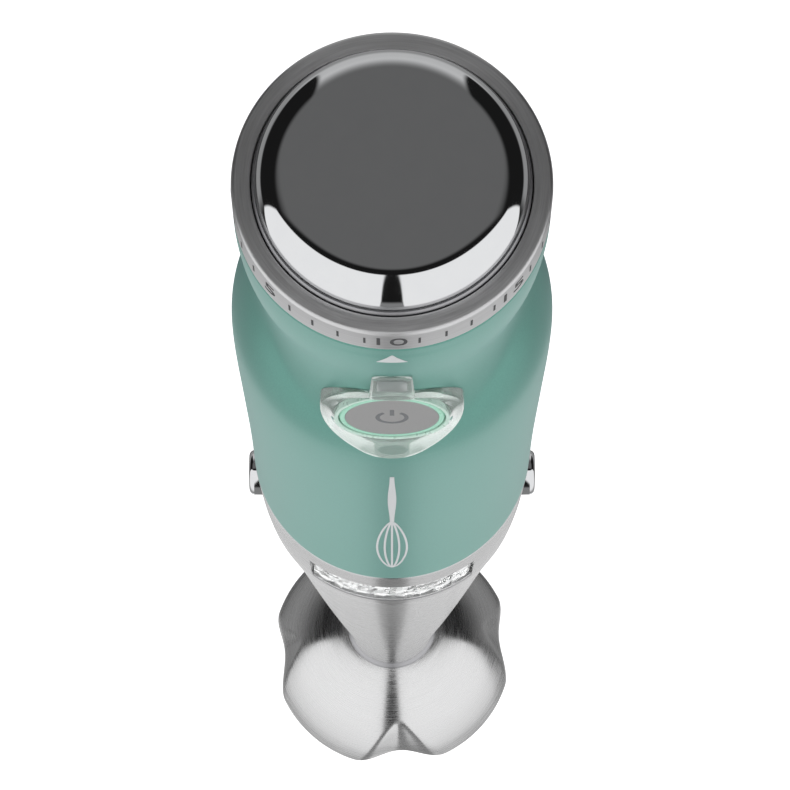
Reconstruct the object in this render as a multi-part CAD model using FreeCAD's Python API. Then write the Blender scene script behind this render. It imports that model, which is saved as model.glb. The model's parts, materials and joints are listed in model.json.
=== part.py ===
import FreeCAD, Part

import math
import os

# Hand-held stick blender: a motor unit with a speed dial, a thumb button and two side releases, and a
# detachable blending shaft that ends in a four-lobed bell.
# Millimetres. Origin at the centre of the bell's rim plane, +Z up the axis, -Y is the button side.

# ---- driving dimensions ---------------------------------------------------------------------------
SEAM_Z = 176.0            # plane where the blending shaft leaves the motor unit
HOUSING_TOP_Z = 384.5
DIAL_TOP_Z = 394.0
CAP_TOP_Z = 401.2
JOINT_GAP = 0.3           # visible gap between pieces that move apart

HOUSING_WALL = 2.0
COLLAR_WALL = 1.2
TUBE_WALL = 1.0
BELL_WALL = 1.0

DIAL_RADIUS = 32.0
DIAL_BORE = 28.6
CAP_RADIUS = 27.4
CAP_FLAT_RADIUS = 22.0
CAP_WALL = 1.5
CAP_STEM_RADIUS = 4.5

BUTTON_CENTRE = (0.0, -33.0, 341.0)
BUTTON_TILT = 4.5         # degrees that the button face leans back
BUTTON_RADIUS = 11.0
BUTTON_DISC_RADIUS = 9.75
BUTTON_LENGTH = 10.4
BUTTON_BORE = 11.4

RELEASE_Z = 184.0
RELEASE_RADIUS = 5.5
RELEASE_FACE_X = 34.9

LIGHT_HALF_ANGLE = 37.5
LIGHT_SLOT = (181.0, 198.0)

SHAFT_RADIUS = 2.5        # motor shaft and drive shaft
RUNNING_FIT = 0.06        # radial clearance of every shaft in its bearing

STATOR_Z = (240.0, 275.0)
STATOR_RADIUS = 26.0
YOKE_RADIUS = 21.0
POLE_RADIUS = 14.6
ARMATURE_RADIUS = 14.2
ARMATURE_SLOTS = 12
COMMUTATOR_RADIUS = 8.0
BEARING_RADIUS = 8.0

BELL_TOP_Z = 28.0
BELL_NOTCH_TURN = 4.0     # degrees that the four rim notches are turned from the axes
BELL_NOTCH_SPREAD = 14.5  # degrees
BELL_NOTCH_DEPTH = 3.3
BELL_NOTCH_RISE = 4.5
BELL_WIRE_POINTS = 72

# Outer profiles as (height, radius), lowest first.
HOUSING_PROFILE = [
    (207.8, 33.0), (235.0, 33.2), (260.0, 33.7), (285.0, 34.3), (310.0, 34.7), (318.0, 34.4), (326.0, 33.1),
    (334.0, 31.0), (341.0, 29.0), (347.5, 28.3), (355.0, 29.2), (362.0, 30.5), (370.0, 31.5), (378.0, 31.95),
    (384.5, 32.0),
]
# The front between dial and bezel stays fuller than the waist: its radii are about an axis set forward.
FRONT_AXIS_Y = -5.0
FRONT_PROFILE = [
    (316.0, 28.9), (322.0, 28.85), (328.0, 28.1), (334.0, 27.3), (341.0, 26.5), (348.0, 26.0), (355.0, 25.95),
    (362.0, 26.1), (369.0, 26.4), (376.0, 26.6), (380.0, 26.6),
]
COLLAR_PROFILE = [(176.3, 31.25), (184.0, 31.9), (195.0, 32.5), (207.5, 33.0)]
TUBE_PROFILE = [
    (30.0, 10.4), (36.0, 11.2), (60.0, 15.2), (90.0, 19.5), (120.0, 23.5), (150.0, 27.4), (176.0, 31.2),
]
BEZEL_PROFILE = [(312.0, 35.0), (330.0, 34.1), (341.0, 33.3), (352.0, 32.5), (367.0, 31.9)]
# Half of the bezel's round lower outline as (x, height), from its lowest point up.
BEZEL_LOWER_SIDE = [(0.0, 316.8), (7.0, 320.2), (11.4, 324.6), (13.9, 329.0), (15.0, 334.0), (15.2, 339.0)]
# Bell sections as (height, radius, share of the full notch depth).
BELL_SECTIONS = [
    (28.0, 12.5, 0.0), (26.4, 16.3, 0.0), (23.0, 21.2, 0.0), (17.5, 26.2, 0.03), (10.5, 30.4, 0.5),
    (4.5, 32.9, 0.92), (0.0, 34.0, 1.0),
]

ORIGIN = FreeCAD.Vector(0, 0, 0)
X_AXIS = FreeCAD.Vector(1, 0, 0)
Y_AXIS = FreeCAD.Vector(0, 1, 0)
Z_AXIS = FreeCAD.Vector(0, 0, 1)


# ---- shape helpers --------------------------------------------------------------------------------
def save(name, shape):
    """Write one node and say how large it is."""
    if shape.ShapeType == "Compound" and len(shape.Solids) == 1:
        shape = shape.Solids[0]
    print(f"{name:26s} solids {len(shape.Solids)} volume {shape.Volume:10.1f} valid {shape.isValid()}")
    shape.exportStep(f"parts/{name}.step")


def rod(radius, low, high, x=0.0, y=0.0):
    return Part.makeCylinder(radius, high - low, FreeCAD.Vector(x, y, low), Z_AXIS)


def tube(outer, inner, low, high):
    return rod(outer, low, high).cut(rod(inner, low - 1, high + 1))


def block(low, high):
    size = [b - a for a, b in zip(low, high)]
    return Part.makeBox(size[0], size[1], size[2], FreeCAD.Vector(*low))


def lying_rod(radius, start, length, axis):
    return Part.makeCylinder(radius, length, FreeCAD.Vector(*start), axis)


def spline_solid(profile, inset=0.0, low=None, high=None):
    """Solid of revolution under a smooth profile, drawn in by inset and trimmed to low..high."""
    curve = Part.BSplineCurve()
    curve.interpolate([FreeCAD.Vector(radius - inset, 0, height) for height, radius in profile])
    bottom = FreeCAD.Vector(0, 0, profile[0][0])
    top = FreeCAD.Vector(0, 0, profile[-1][0])
    first = FreeCAD.Vector(profile[0][1] - inset, 0, profile[0][0])
    last = FreeCAD.Vector(profile[-1][1] - inset, 0, profile[-1][0])
    edges = [
        curve.toShape(), Part.makeLine(last, top), Part.makeLine(top, bottom), Part.makeLine(bottom, first),
    ]
    solid = Part.Face(Part.Wire(edges)).revolve(ORIGIN, Z_AXIS, 360)
    if low is None:
        return solid
    return solid.common(rod(60, low, high))


def spline_shell(profile, wall):
    """Thin wall under a smooth profile, open at both ends."""
    return spline_solid(profile).cut(spline_solid(profile, wall))


def ring(points, start=0.0, sweep=360.0):
    """Revolve a closed (radius, height) polygon; start and sweep in degrees about +Z from +X."""
    corners = [FreeCAD.Vector(radius, 0, height) for radius, height in points]
    face = Part.Face(Part.makePolygon(corners + corners[:1]))
    solid = face.revolve(ORIGIN, Z_AXIS, sweep)
    solid.rotate(ORIGIN, Z_AXIS, start)
    return solid


def front_arc(points, half_angle):
    return ring(points, -90 - half_angle, 2 * half_angle)


def around(shape, count, turn=0.0):
    """Copies of a shape spread evenly about +Z."""
    copies = []
    for index in range(count):
        copy = shape.copy()
        copy.rotate(ORIGIN, Z_AXIS, turn + 360.0 * index / count)
        copies.append(copy)
    return copies


def joined(shapes):
    return shapes[0].multiFuse(shapes[1:]).removeSplitter()


def coil(radius, wire, length, turns):
    """Open coil spring standing on z = 0."""
    path = Part.makeHelix((length - 2 * wire) / turns, length - 2 * wire, radius)
    section = Part.makeCircle(wire, FreeCAD.Vector(radius, 0, 0), Y_AXIS)
    spring = Part.Wire(path).makePipeShell([Part.Wire(section)], True, True)
    spring.translate(FreeCAD.Vector(0, 0, wire))
    return spring


def on_button_axis(shape):
    """Move a shape built along +Z so that +Z becomes the button's outward direction."""
    shape.rotate(ORIGIN, X_AXIS, 90 - BUTTON_TILT)
    shape.translate(FreeCAD.Vector(*BUTTON_CENTRE))
    return shape


def mirrored_x(shape):
    return shape.mirror(ORIGIN, X_AXIS)


# ---- speed dial and cap ---------------------------------------------------------------------------
def top_cap():
    """Chrome dome with a hollow inside and the stem that the dial turns around."""
    def dome(inset):
        side = CAP_RADIUS - inset
        flat = CAP_FLAT_RADIUS - inset * 0.4
        top = CAP_TOP_Z - inset
        shoulder = Part.Arc(
            FreeCAD.Vector(side, 0, 393.6),
            FreeCAD.Vector((side + flat) / 2 + 1.1, 0, top - 2.2),
            FreeCAD.Vector(flat, 0, top),
        ).toShape()
        corners = [(flat, top), (0, top), (0, 391.2), (side, 391.2), (side, 393.6)]
        path = [FreeCAD.Vector(x, 0, z) for x, z in corners]
        face = Part.Face(Part.Wire([shoulder] + Part.makePolygon(path).Edges))
        return face.revolve(ORIGIN, Z_AXIS, 360)
    hollow = dome(CAP_WALL)
    stem = rod(CAP_STEM_RADIUS, 379.5, CAP_TOP_Z - 1.0)
    return joined([dome(0.0).cut(hollow), stem]).cut(rod(1.55, 379.0, 391.0))


def cap_lip():
    return ring([
        (25.0, 390.3), (28.2, 390.3), (28.2, 392.4), (CAP_RADIUS, 392.9), (CAP_RADIUS, 391.2), (25.0, 391.2),
    ])


def speed_dial_ring():
    """Plain metal band whose outer face carries the speed scale."""
    low = HOUSING_TOP_Z + JOINT_GAP
    profile = [
        (30.5, low), (DIAL_RADIUS - 0.2, low), (DIAL_RADIUS, low + 0.2), (DIAL_RADIUS, DIAL_TOP_Z - 0.5),
        (DIAL_RADIUS - 0.5, DIAL_TOP_Z), (DIAL_BORE + 0.2, DIAL_TOP_Z), (DIAL_BORE, DIAL_TOP_Z - 0.2),
        (DIAL_BORE, 390.0), (30.5, 390.0),
    ]
    return ring(profile)


def dial_carrier():
    """Plastic web under the ring, with the hub that turns on the cap's stem."""
    bore = CAP_STEM_RADIUS + RUNNING_FIT
    web = ring([(bore, 381.9), (8.0, 381.9), (8.0, 387.0), (30.5, 387.0), (30.5, 389.8), (bore, 389.8)])
    openings = around(block((12.0, -3.0, 386.0), (25.0, 3.0, 391.0)), 6)
    return web.cut(Part.makeCompound(openings))


def contact_fingers():
    plate = ring([(8.0, 382.3), (20.0, 382.3), (20.0, 383.2), (8.0, 383.2)], -20, 40)
    tips = [block((x - 0.6, -0.8, 381.4), (x + 0.6, 0.8, 382.3)) for x in (11.0, 14.5, 18.0)]
    return joined([plate] + tips)


def top_frame():
    """Fixed plate under the dial that carries the sensor board and the cap's stem."""
    plate = rod(29.7, 377.0, 379.5).cut(rod(1.6, 376.0, 380.0))
    windows = around(block((12.0, -4.0, 376.0), (24.5, 4.0, 380.0)), 3, 30)
    return plate.cut(Part.makeCompound(windows))


def cap_screw():
    head = rod(3.0, 374.6, 377.0).cut(block((-0.5, -2.4, 374.0), (0.5, 2.4, 375.4)))
    return joined([head, rod(1.5, 377.0, 389.5)])


# ---- housing --------------------------------------------------------------------------------------
def button_bore(radius):
    return on_button_axis(rod(radius, -14.0, 8.0))


def shield_prism():
    """Bezel outline seen from the front: a round-bottomed shield with a tab on top."""
    right_side = [FreeCAD.Vector(x, 0, z) for x, z in BEZEL_LOWER_SIDE]
    right = right_side[-1]
    shoulder = FreeCAD.Vector(15.0, 0, 346.0)
    corner = FreeCAD.Vector(12.6, 0, 349.6)
    tab_foot = FreeCAD.Vector(4.4, 0, 351.6)
    tab_top = FreeCAD.Vector(4.1, 0, 364.4)

    def flip(point):
        return FreeCAD.Vector(-point.x, point.y, point.z)
    lower = Part.BSplineCurve()
    lower.interpolate([flip(point) for point in reversed(right_side[1:])] + right_side)
    edges = [
        lower.toShape(),
        Part.makeLine(right, shoulder),
        Part.Arc(shoulder, FreeCAD.Vector(14.3, 0, 348.7), corner).toShape(),
        Part.makeLine(corner, tab_foot),
        Part.makeLine(tab_foot, tab_top),
        Part.Arc(tab_top, FreeCAD.Vector(0, 0, 365.0), flip(tab_top)).toShape(),
        Part.makeLine(flip(tab_top), flip(tab_foot)),
        Part.makeLine(flip(tab_foot), flip(corner)),
        Part.Arc(flip(corner), FreeCAD.Vector(-14.3, 0, 348.7), flip(shoulder)).toShape(),
        Part.makeLine(flip(shoulder), flip(right)),
    ]
    prism = Part.Face(Part.Wire(edges)).extrude(FreeCAD.Vector(0, -24, 0))
    prism.translate(FreeCAD.Vector(0, -14, 0))
    return prism


def lens_prism():
    prism = block((-3.4, -38.0, 355.4), (3.4, -24.0, 362.8))
    uprights = [edge for edge in prism.Edges if abs(edge.tangentAt(edge.FirstParameter).y) > 0.9]
    return prism.makeFillet(1.2, uprights)


def housing_blank(inset=0.0):
    """Outer form of the grip: a waisted turned body with a fuller front."""
    front = spline_solid(FRONT_PROFILE, inset)
    front.translate(FreeCAD.Vector(0, FRONT_AXIS_Y, 0))
    return spline_solid(HOUSING_PROFILE, inset).fuse(front)


def bezel_blank():
    return shield_prism().common(spline_solid(BEZEL_PROFILE)).cut(housing_blank())


def button_bezel():
    return bezel_blank().cut(button_bore(BUTTON_BORE)).cut(lens_prism())


def indicator_lens():
    return bezel_blank().common(lens_prism())


def housing_shell():
    shell = housing_blank().cut(housing_blank(HOUSING_WALL))
    return shell.cut(button_bore(BUTTON_BORE)).cut(lying_rod(6.5, (0, 20, 356), 16, Y_AXIS))


def pointer_mark():
    corners = [(-2.9, 376.6), (2.9, 376.6), (0.0, 381.3)]
    points = [FreeCAD.Vector(x, -28, z) for x, z in corners]
    prism = Part.Face(Part.makePolygon(points + points[:1])).extrude(FreeCAD.Vector(0, -6, 0))
    skin = spline_solid(HOUSING_PROFILE, -0.15).cut(spline_solid(HOUSING_PROFILE))
    return prism.common(skin)


def cord_gland():
    body = joined([lying_rod(8.5, (0, 22.0, 356), 2.5, Y_AXIS), lying_rod(6.5, (0, 24.5, 356), 7.1, Y_AXIS)])
    return body.cut(lying_rod(3.6, (0, 21.0, 356), 12, Y_AXIS))


def steel_collar():
    """Brushed band with the light slot in front and a round hole for each release button."""
    band = spline_shell(COLLAR_PROFILE, COLLAR_WALL)
    slot = front_arc([(28, LIGHT_SLOT[0]), (36, LIGHT_SLOT[0]), (36, LIGHT_SLOT[1]), (28, LIGHT_SLOT[1])],
                     LIGHT_HALF_ANGLE)
    holes = lying_rod(RELEASE_RADIUS + 0.35, (-40, 0, RELEASE_Z), 80, X_AXIS)
    return band.cut(slot).cut(holes)


def light_bar():
    """Clear bar with shallow upright facets, set a little behind the collar's face."""
    bar = front_arc([(29.9, 182.6), (31.6, 182.6), (32.1, 190.0), (32.0, 197.6), (29.9, 197.6)],
                    LIGHT_HALF_ANGLE - 0.7)
    groove = block((31.9, -0.6, 180.0), (33.0, 0.6, 199.0))
    groove.rotate(FreeCAD.Vector(31.9, 0, 190), Z_AXIS, 45)
    cuts = []
    for index in range(11):
        cut = groove.copy()
        cut.rotate(ORIGIN, Z_AXIS, -90 + (index - 5) * 6.5)
        cuts.append(cut)
    return bar.cut(Part.makeCompound(cuts))


def light_seat():
    return front_arc([(29.6, 181.0), (31.3, 181.0), (31.5, 182.6), (29.6, 182.6)], LIGHT_HALF_ANGLE)


def light_board():
    return front_arc([(27.0, 183.0), (28.4, 183.0), (28.4, 196.0), (27.0, 196.0)], 35)


def light_emitters():
    emitter = block((28.4, -1.4, 187.5), (29.3, 1.4, 191.5))
    emitters = []
    for index in range(7):
        copy = emitter.copy()
        copy.rotate(ORIGIN, Z_AXIS, -90 + (index - 3) * 10.0)
        emitters.append(copy)
    return Part.makeCompound(emitters)


def inner_chassis():
    """Slotted plastic sleeve between the motor and the shell."""
    sleeve = tube(30.4, 28.8, 214.0, 312.0)
    window = block((20.0, -5.0, 228.0), (40.0, 5.0, 294.0))
    return sleeve.cut(Part.makeCompound(around(window, 6, 30)))


# ---- thumb button and electronics ----------------------------------------------------------------
def on_button_cap():
    face = rod(BUTTON_RADIUS, -BUTTON_LENGTH, 0.0)
    rim = [edge for edge in face.Edges if abs(edge.CenterOfMass.z) < 0.01 and edge.Length > 10]
    face = face.makeFillet(0.5, rim)
    flange = rod(12.4, -BUTTON_LENGTH - 1.2, -BUTTON_LENGTH)
    stem = rod(3.0, -15.2, -BUTTON_LENGTH - 1.2)
    seat = rod(BUTTON_DISC_RADIUS, -0.9, 1.0)
    hollow = rod(8.6, -BUTTON_LENGTH - 2.0, -3.0).cut(rod(3.0, -BUTTON_LENGTH - 3.0, 0.0))
    return on_button_axis(joined([face, flange, stem]).cut(seat).cut(hollow))


def on_button_disc():
    """Brushed insert with a generic power sign sunk into it: a broken circle and a bar."""
    disc = rod(BUTTON_DISC_RADIUS, -0.9, -0.1)
    circle = ring([(2.6, -0.25), (3.4, -0.25), (3.4, 0.1), (2.6, 0.1)], 125, 290)
    bar = block((-0.4, 1.2, -0.25), (0.4, 4.2, 0.1))
    return on_button_axis(disc.cut(circle).cut(bar))


def button_spring():
    spring = coil(5.0, 0.45, 5.6, 3)
    spring.translate(FreeCAD.Vector(0, 0, -17.4))
    return on_button_axis(spring)


def switch_bracket():
    plate = block((-12.0, -14.9, 329.0), (12.0, -13.4, 350.0))
    legs = [block((x, -13.4, 329.0), (x + 1.5, -3.6, 350.0)) for x in (-12.0, 10.5)]
    return joined([plate] + legs).cut(lying_rod(2.2, (0, -16, 339.6), 4, Y_AXIS))


def micro_switch():
    body = block((-6.4, -13.4, 333.5), (6.4, -5.0, 345.5))
    pins = [block((x - 0.4, -5.0, 339.0), (x + 0.4, -3.6, 340.2)) for x in (-4.5, 0.0, 4.5)]
    return joined([body, lying_rod(1.3, (0, -15.6, 339.6), 2.2, Y_AXIS)] + pins)


def control_board():
    return block((-21.0, -3.6, 322.0), (21.0, -2.0, 373.0))


def board_components():
    """Capacitor, choke, filter block, terminal block and chips, each standing on the board."""
    parts = [
        lying_rod(6.5, (-11.0, -2.0, 361.0), 14.0, Y_AXIS),
        lying_rod(5.0, (-13.0, -2.0, 345.0), 9.0, Y_AXIS).cut(
            lying_rod(2.0, (-13.0, -3.0, 345.0), 11.0, Y_AXIS)),
        block((0.0, -2.0, 325.0), (15.0, 6.0, 337.0)),
        block((-17.0, -2.0, 324.0), (-3.0, 7.0, 332.0)),
        block((-2.0, -2.0, 350.0), (4.0, -0.6, 358.0)),
        block((-3.0, -2.0, 364.0), (1.0, -0.8, 368.0)),
    ]
    return Part.makeCompound(parts)


def heat_sink():
    base = block((8.0, -2.0, 342.0), (19.0, -0.2, 358.0))
    fins = [block((8.0 + 2.4 * index, -0.2, 342.0), (9.4 + 2.4 * index, 9.0, 358.0)) for index in range(5)]
    return joined([base] + fins)


# ---- motor ----------------------------------------------------------------------------------------
def sector(outer, inner, low, high, centre, half):
    return ring([(inner, low), (outer, low), (outer, high), (inner, high)], centre - half, 2 * half)


def motor_stator():
    yoke = tube(STATOR_RADIUS, YOKE_RADIUS, *STATOR_Z)
    poles = [sector(YOKE_RADIUS + 0.5, POLE_RADIUS, *STATOR_Z, centre, 38) for centre in (90, -90)]
    return joined([yoke] + poles)


def field_coils():
    """Two saddle windings, each wrapped around one pole."""
    low, high = STATOR_Z
    coils = []
    for centre in (90, -90):
        bundle = sector(20.4, 15.2, low - 8, high + 8, centre, 84)
        coils.append(bundle.cut(sector(21.0, 14.0, low - 0.3, high + 0.3, centre, 39)))
    return Part.makeCompound(coils)


def slot_rods(radius, low, high):
    return around(rod(radius, low, high, x=11.2), ARMATURE_SLOTS)


def armature_stack():
    low, high = STATOR_Z
    stack = tube(ARMATURE_RADIUS, SHAFT_RADIUS, low, high)
    mouths = around(block((11.2, -0.6, low - 1), (15.0, 0.6, high + 1)), ARMATURE_SLOTS)
    return stack.cut(Part.makeCompound(slot_rods(1.8, low - 1, high + 1))).cut(Part.makeCompound(mouths))


def armature_winding():
    low, high = STATOR_Z
    ends = [
        ring([(3.6, low - 6), (11.0, low - 6), (13.2, low - 3), (13.2, low - 0.3), (3.6, low - 0.3)]),
        ring([(3.6, high + 0.3), (13.2, high + 0.3), (13.2, high + 3), (11.0, high + 6), (3.6, high + 6)]),
    ]
    return joined(ends + slot_rods(1.7, low - 1, high + 1))


def motor_shaft():
    return rod(SHAFT_RADIUS, 180.0, 318.0)


def commutator():
    """Barrel of copper bars parted by narrow slots."""
    barrel = tube(COMMUTATOR_RADIUS, SHAFT_RADIUS, 286.0, 298.0)
    slots = around(block((6.9, -0.2, 285.0), (9.0, 0.2, 297.0)), 2 * ARMATURE_SLOTS, 7.5)
    return barrel.cut(Part.makeCompound(slots))


def carbon_brushes():
    brush = block((6.0, -3.0, 288.0), (20.0, 3.0, 295.0)).cut(rod(COMMUTATOR_RADIUS + 0.08, 280, 300))
    return Part.makeCompound([brush, mirrored_x(brush)])


def brush_holders():
    holder = block((9.4, -4.6, 286.0), (24.0, 4.6, 300.0)).cut(block((9.0, -3.0, 288.0), (22.5, 3.0, 295.0)))
    return Part.makeCompound([holder, mirrored_x(holder)])


def bracket(plate_low, plate_high, hub_low, hub_high, leg_low, leg_high, turn):
    """Round end plate with a bearing pocket and two legs that clamp the stator."""
    plate = rod(26.1, plate_low, plate_high)
    hub = rod(11.0, hub_low, hub_high)
    legs = [copy.common(tube(STATOR_RADIUS, YOKE_RADIUS + 0.1, leg_low, leg_high))
            for copy in around(block((18.0, -5.0, leg_low), (30.0, 5.0, leg_high)), 2, turn)]
    windows = around(sector(20.0, 13.0, plate_low - 1, plate_high + 1, 0, 26), 4, turn + 45)
    solid = joined([plate, hub] + legs).cut(Part.makeCompound(windows))
    return solid.cut(rod(BEARING_RADIUS, hub_low - 1, hub_high + 1))


def upper_bracket():
    return bracket(300.0, 304.0, 300.0, 307.0, STATOR_Z[1], 300.0, 90)


def lower_bracket():
    return bracket(217.5, 221.5, 217.5, 226.0, 221.5, STATOR_Z[0], 0)


def bearing(low, high):
    """Ball bearing drawn as one ring with a groove in each face."""
    race = tube(BEARING_RADIUS, SHAFT_RADIUS + RUNNING_FIT, low, high)
    grooves = [tube(6.2, 4.4, low - 1, low + 0.5), tube(6.2, 4.4, high - 0.5, high + 1)]
    return race.cut(Part.makeCompound(grooves))


def motor_isolators():
    return Part.makeCompound([tube(28.8, 26.1, low, low + 5.0) for low in (217.0, 299.5)])


def cooling_fan():
    hub = tube(6.0, SHAFT_RADIUS, 308.5, 316.5)
    disc = tube(20.0, SHAFT_RADIUS, 308.5, 309.7)
    blade = block((5.5, -0.5, 309.7), (19.5, 0.5, 316.5))
    blade.rotate(FreeCAD.Vector(5.5, 0, 0), Z_AXIS, 18)
    return joined([hub, disc] + around(blade, 11))


# ---- couplings, nose and latches ------------------------------------------------------------------
def star(core, tooth, low, high):
    return joined([rod(core, low, high)] + around(rod(tooth, low, high, x=4.6), 6))


def driver_coupling():
    return joined([rod(7.5, 180.0, 194.0), star(4.4, 1.2, 166.0, 180.0)]).cut(rod(SHAFT_RADIUS, 180.0, 200.0))


def driven_coupling():
    cup = rod(9.0, 161.5, SEAM_Z).cut(star(4.8, 1.6, 165.0, SEAM_Z + 1))
    return cup.cut(rod(SHAFT_RADIUS, 160.0, 166.0))


def nose_frame():
    """Fixed plastic nose: a flange in the collar, a sleeve around the coupling and a locating skirt."""
    flange = tube(31.2, 9.5, 203.0, 206.5)
    sleeve = tube(14.6, 12.6, 168.0, 203.0)
    skirt = tube(24.8, 22.6, 168.0, 203.0)
    gates = block((-40.0, -4.4, 160.0), (40.0, 4.4, 189.0)).cut(rod(16.0, 150.0, 200.0))
    guides = [block((x, y, 181.0), (x + 3.0, y + 2.0, 203.0)) for x in (-25.0, 22.0) for y in (-6.4, 4.4)]
    return joined([flange, sleeve, skirt.cut(gates)] + guides)


def release_button():
    cap = lying_rod(RELEASE_RADIUS, (29.4, 0, RELEASE_Z), RELEASE_FACE_X - 29.4, X_AXIS)
    rim = [edge for edge in cap.Edges if edge.CenterOfMass.x > RELEASE_FACE_X - 0.01 and edge.Length > 5]
    return cap.makeFillet(1.1, rim)


def latch_arm():
    """Button flange, stem and the hook that reaches down beside the shaft's locking lip."""
    flange = lying_rod(6.8, (28.2, 0, RELEASE_Z), 1.2, X_AXIS)
    stem = block((20.5, -3.0, 182.0), (28.2, 3.0, 186.0))
    arm = block((20.5, -3.0, 169.0), (22.8, 3.0, 182.0))
    hook = block((22.8, -3.0, 169.0), (24.6, 3.0, 172.6))
    return joined([flange, stem, arm, hook])


def release_spring():
    spring = coil(1.7, 0.3, 5.6, 4)
    spring.rotate(ORIGIN, Y_AXIS, 90)
    spring.translate(FreeCAD.Vector(14.75, 0, RELEASE_Z))
    return spring


# ---- blending shaft -------------------------------------------------------------------------------
def shaft_tube():
    return spline_shell(TUBE_PROFILE, TUBE_WALL)


def socket_ring():
    """Plastic socket in the tube's mouth, with the locking lip and the floor of the upper bush."""
    return ring([
        (6.0, 158.0), (26.8, 158.0), (29.6, 175.7), (25.2, 175.7), (25.2, 173.6), (26.4, 173.0),
        (25.9, 161.0),
        (6.0, 161.0),
    ])


def shaft_bushes():
    bore = SHAFT_RADIUS + RUNNING_FIT
    upper = joined([tube(6.0, bore, 152.0, 161.0), tube(8.5, bore, 155.0, 158.0)])
    return Part.makeCompound([upper, tube(9.1, bore, 30.2, 42.0)])


def shaft_seal():
    bore = SHAFT_RADIUS + RUNNING_FIT
    return joined([tube(6.0, bore, 25.0, 29.0), tube(8.0, bore, 23.6, 26.4)])


def foot_ring():
    return ring([(6.4, BELL_TOP_Z), (12.3, BELL_TOP_Z), (12.3, 28.9), (11.2, 30.0), (6.4, 30.0)])


def bell_solid(inset, drop):
    """Smooth body through the bell's four-lobed sections."""
    wires = []
    for height, radius, share in BELL_SECTIONS:
        points = []
        for step in range(BELL_WIRE_POINTS):
            angle = 360.0 * step / BELL_WIRE_POINTS
            off_notch = (angle - BELL_NOTCH_TURN + 45.0) % 90.0 - 45.0
            dent = share * BELL_NOTCH_DEPTH * math.exp(-((off_notch / BELL_NOTCH_SPREAD) ** 2))
            reach = radius - inset - dent
            turn = math.radians(angle)
            points.append(FreeCAD.Vector(reach * math.cos(turn), reach * math.sin(turn), height - drop))
        curve = Part.BSplineCurve()
        curve.interpolate(Points=points, PeriodicFlag=True)
        wires.append(Part.Wire(curve.toShape()))
    return Part.makeLoft(wires, True, False)


def bell():
    """Pressed steel guard: constant wall, central hole and a raised rim at each notch."""
    guard = bell_solid(0.0, 0.0).cut(bell_solid(BELL_WALL * 0.75, BELL_WALL))
    arch = 12.0
    scallop = lying_rod(arch, (24.0, 0, BELL_NOTCH_RISE - arch), 18.0, X_AXIS)
    guard = guard.cut(Part.makeCompound(around(scallop, 4, BELL_NOTCH_TURN)))
    return guard.cut(rod(6.0, 20.0, 30.0))


def drive_shaft():
    return rod(SHAFT_RADIUS, 6.0, 165.0)


def blade_hub():
    return joined([tube(4.6, SHAFT_RADIUS, 12.2, 21.0), tube(5.6, SHAFT_RADIUS, 12.2, 13.4)])


def blade():
    """Two swept wings, one bent up and one bent down, on a flat centre."""
    centre = rod(6.5, 10.8, 12.2)
    corners = [(6.0, -4.2), (16.0, -4.2), (24.5, 0.6), (23.4, 3.4), (14.0, 4.6), (6.0, 4.2)]
    points = [FreeCAD.Vector(x, y, 10.8) for x, y in corners]
    wing = Part.Face(Part.makePolygon(points + points[:1])).extrude(FreeCAD.Vector(0, 0, 1.4))
    edge = block((0.0, -8.0, 0.0), (30.0, 0.0, 3.0))
    edge.rotate(ORIGIN, X_AXIS, 25)
    edge.translate(FreeCAD.Vector(7.0, -2.2, 11.2))
    wing = wing.cut(edge)
    up = wing.copy()
    up.rotate(FreeCAD.Vector(6.5, 0, 11.5), Y_AXIS, -11)
    down = wing.copy()
    down.rotate(FreeCAD.Vector(6.5, 0, 11.5), Y_AXIS, 11)
    down.rotate(ORIGIN, Z_AXIS, 180)
    return joined([centre, up, down]).cut(rod(SHAFT_RADIUS, 5.0, 20.0))


def blade_nut():
    corners = [(4.4 * math.cos(math.radians(60 * k)), 4.4 * math.sin(math.radians(60 * k))) for k in range(6)]
    points = [FreeCAD.Vector(x, y, 7.0) for x, y in corners]
    nut = Part.Face(Part.makePolygon(points + points[:1])).extrude(FreeCAD.Vector(0, 0, 3.8))
    return nut.cut(rod(SHAFT_RADIUS, 6.0, 12.0))


# ---- write every node -----------------------------------------------------------------------------
os.makedirs("parts", exist_ok=True)
NODES = [
    top_cap, cap_lip, speed_dial_ring, dial_carrier, contact_fingers, top_frame, cap_screw,
    housing_shell, pointer_mark, button_bezel, indicator_lens, cord_gland, steel_collar,
    light_bar, light_seat, light_board, light_emitters, inner_chassis,
    on_button_cap, on_button_disc, button_spring, switch_bracket, micro_switch,
    control_board, board_components, heat_sink,
    motor_stator, field_coils, armature_stack, armature_winding, motor_shaft, commutator,
    carbon_brushes, brush_holders, upper_bracket, lower_bracket, motor_isolators, cooling_fan,
    driver_coupling, driven_coupling, nose_frame,
    shaft_tube, socket_ring, shaft_bushes, shaft_seal, foot_ring, bell,
    drive_shaft, blade_hub, blade, blade_nut,
]
for make in NODES:
    save(make.__name__, make())
save("track_board", tube(24.0, 5.2, 379.5, 381.0))
save("upper_bearing", bearing(300.0, 306.0))
save("lower_bearing", bearing(218.5, 225.0))
for make in (release_button, latch_arm, release_spring):
    piece = make()
    save(f"{make.__name__}_right", piece)
    save(f"{make.__name__}_left", mirrored_x(piece))
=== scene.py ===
import json
import logging
import math
import random
from dataclasses import dataclass
from enum import Enum
from typing import Callable, Iterable, Optional, Sequence

import bmesh
import bpy
import numpy
from mathutils import Matrix, Vector


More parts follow.
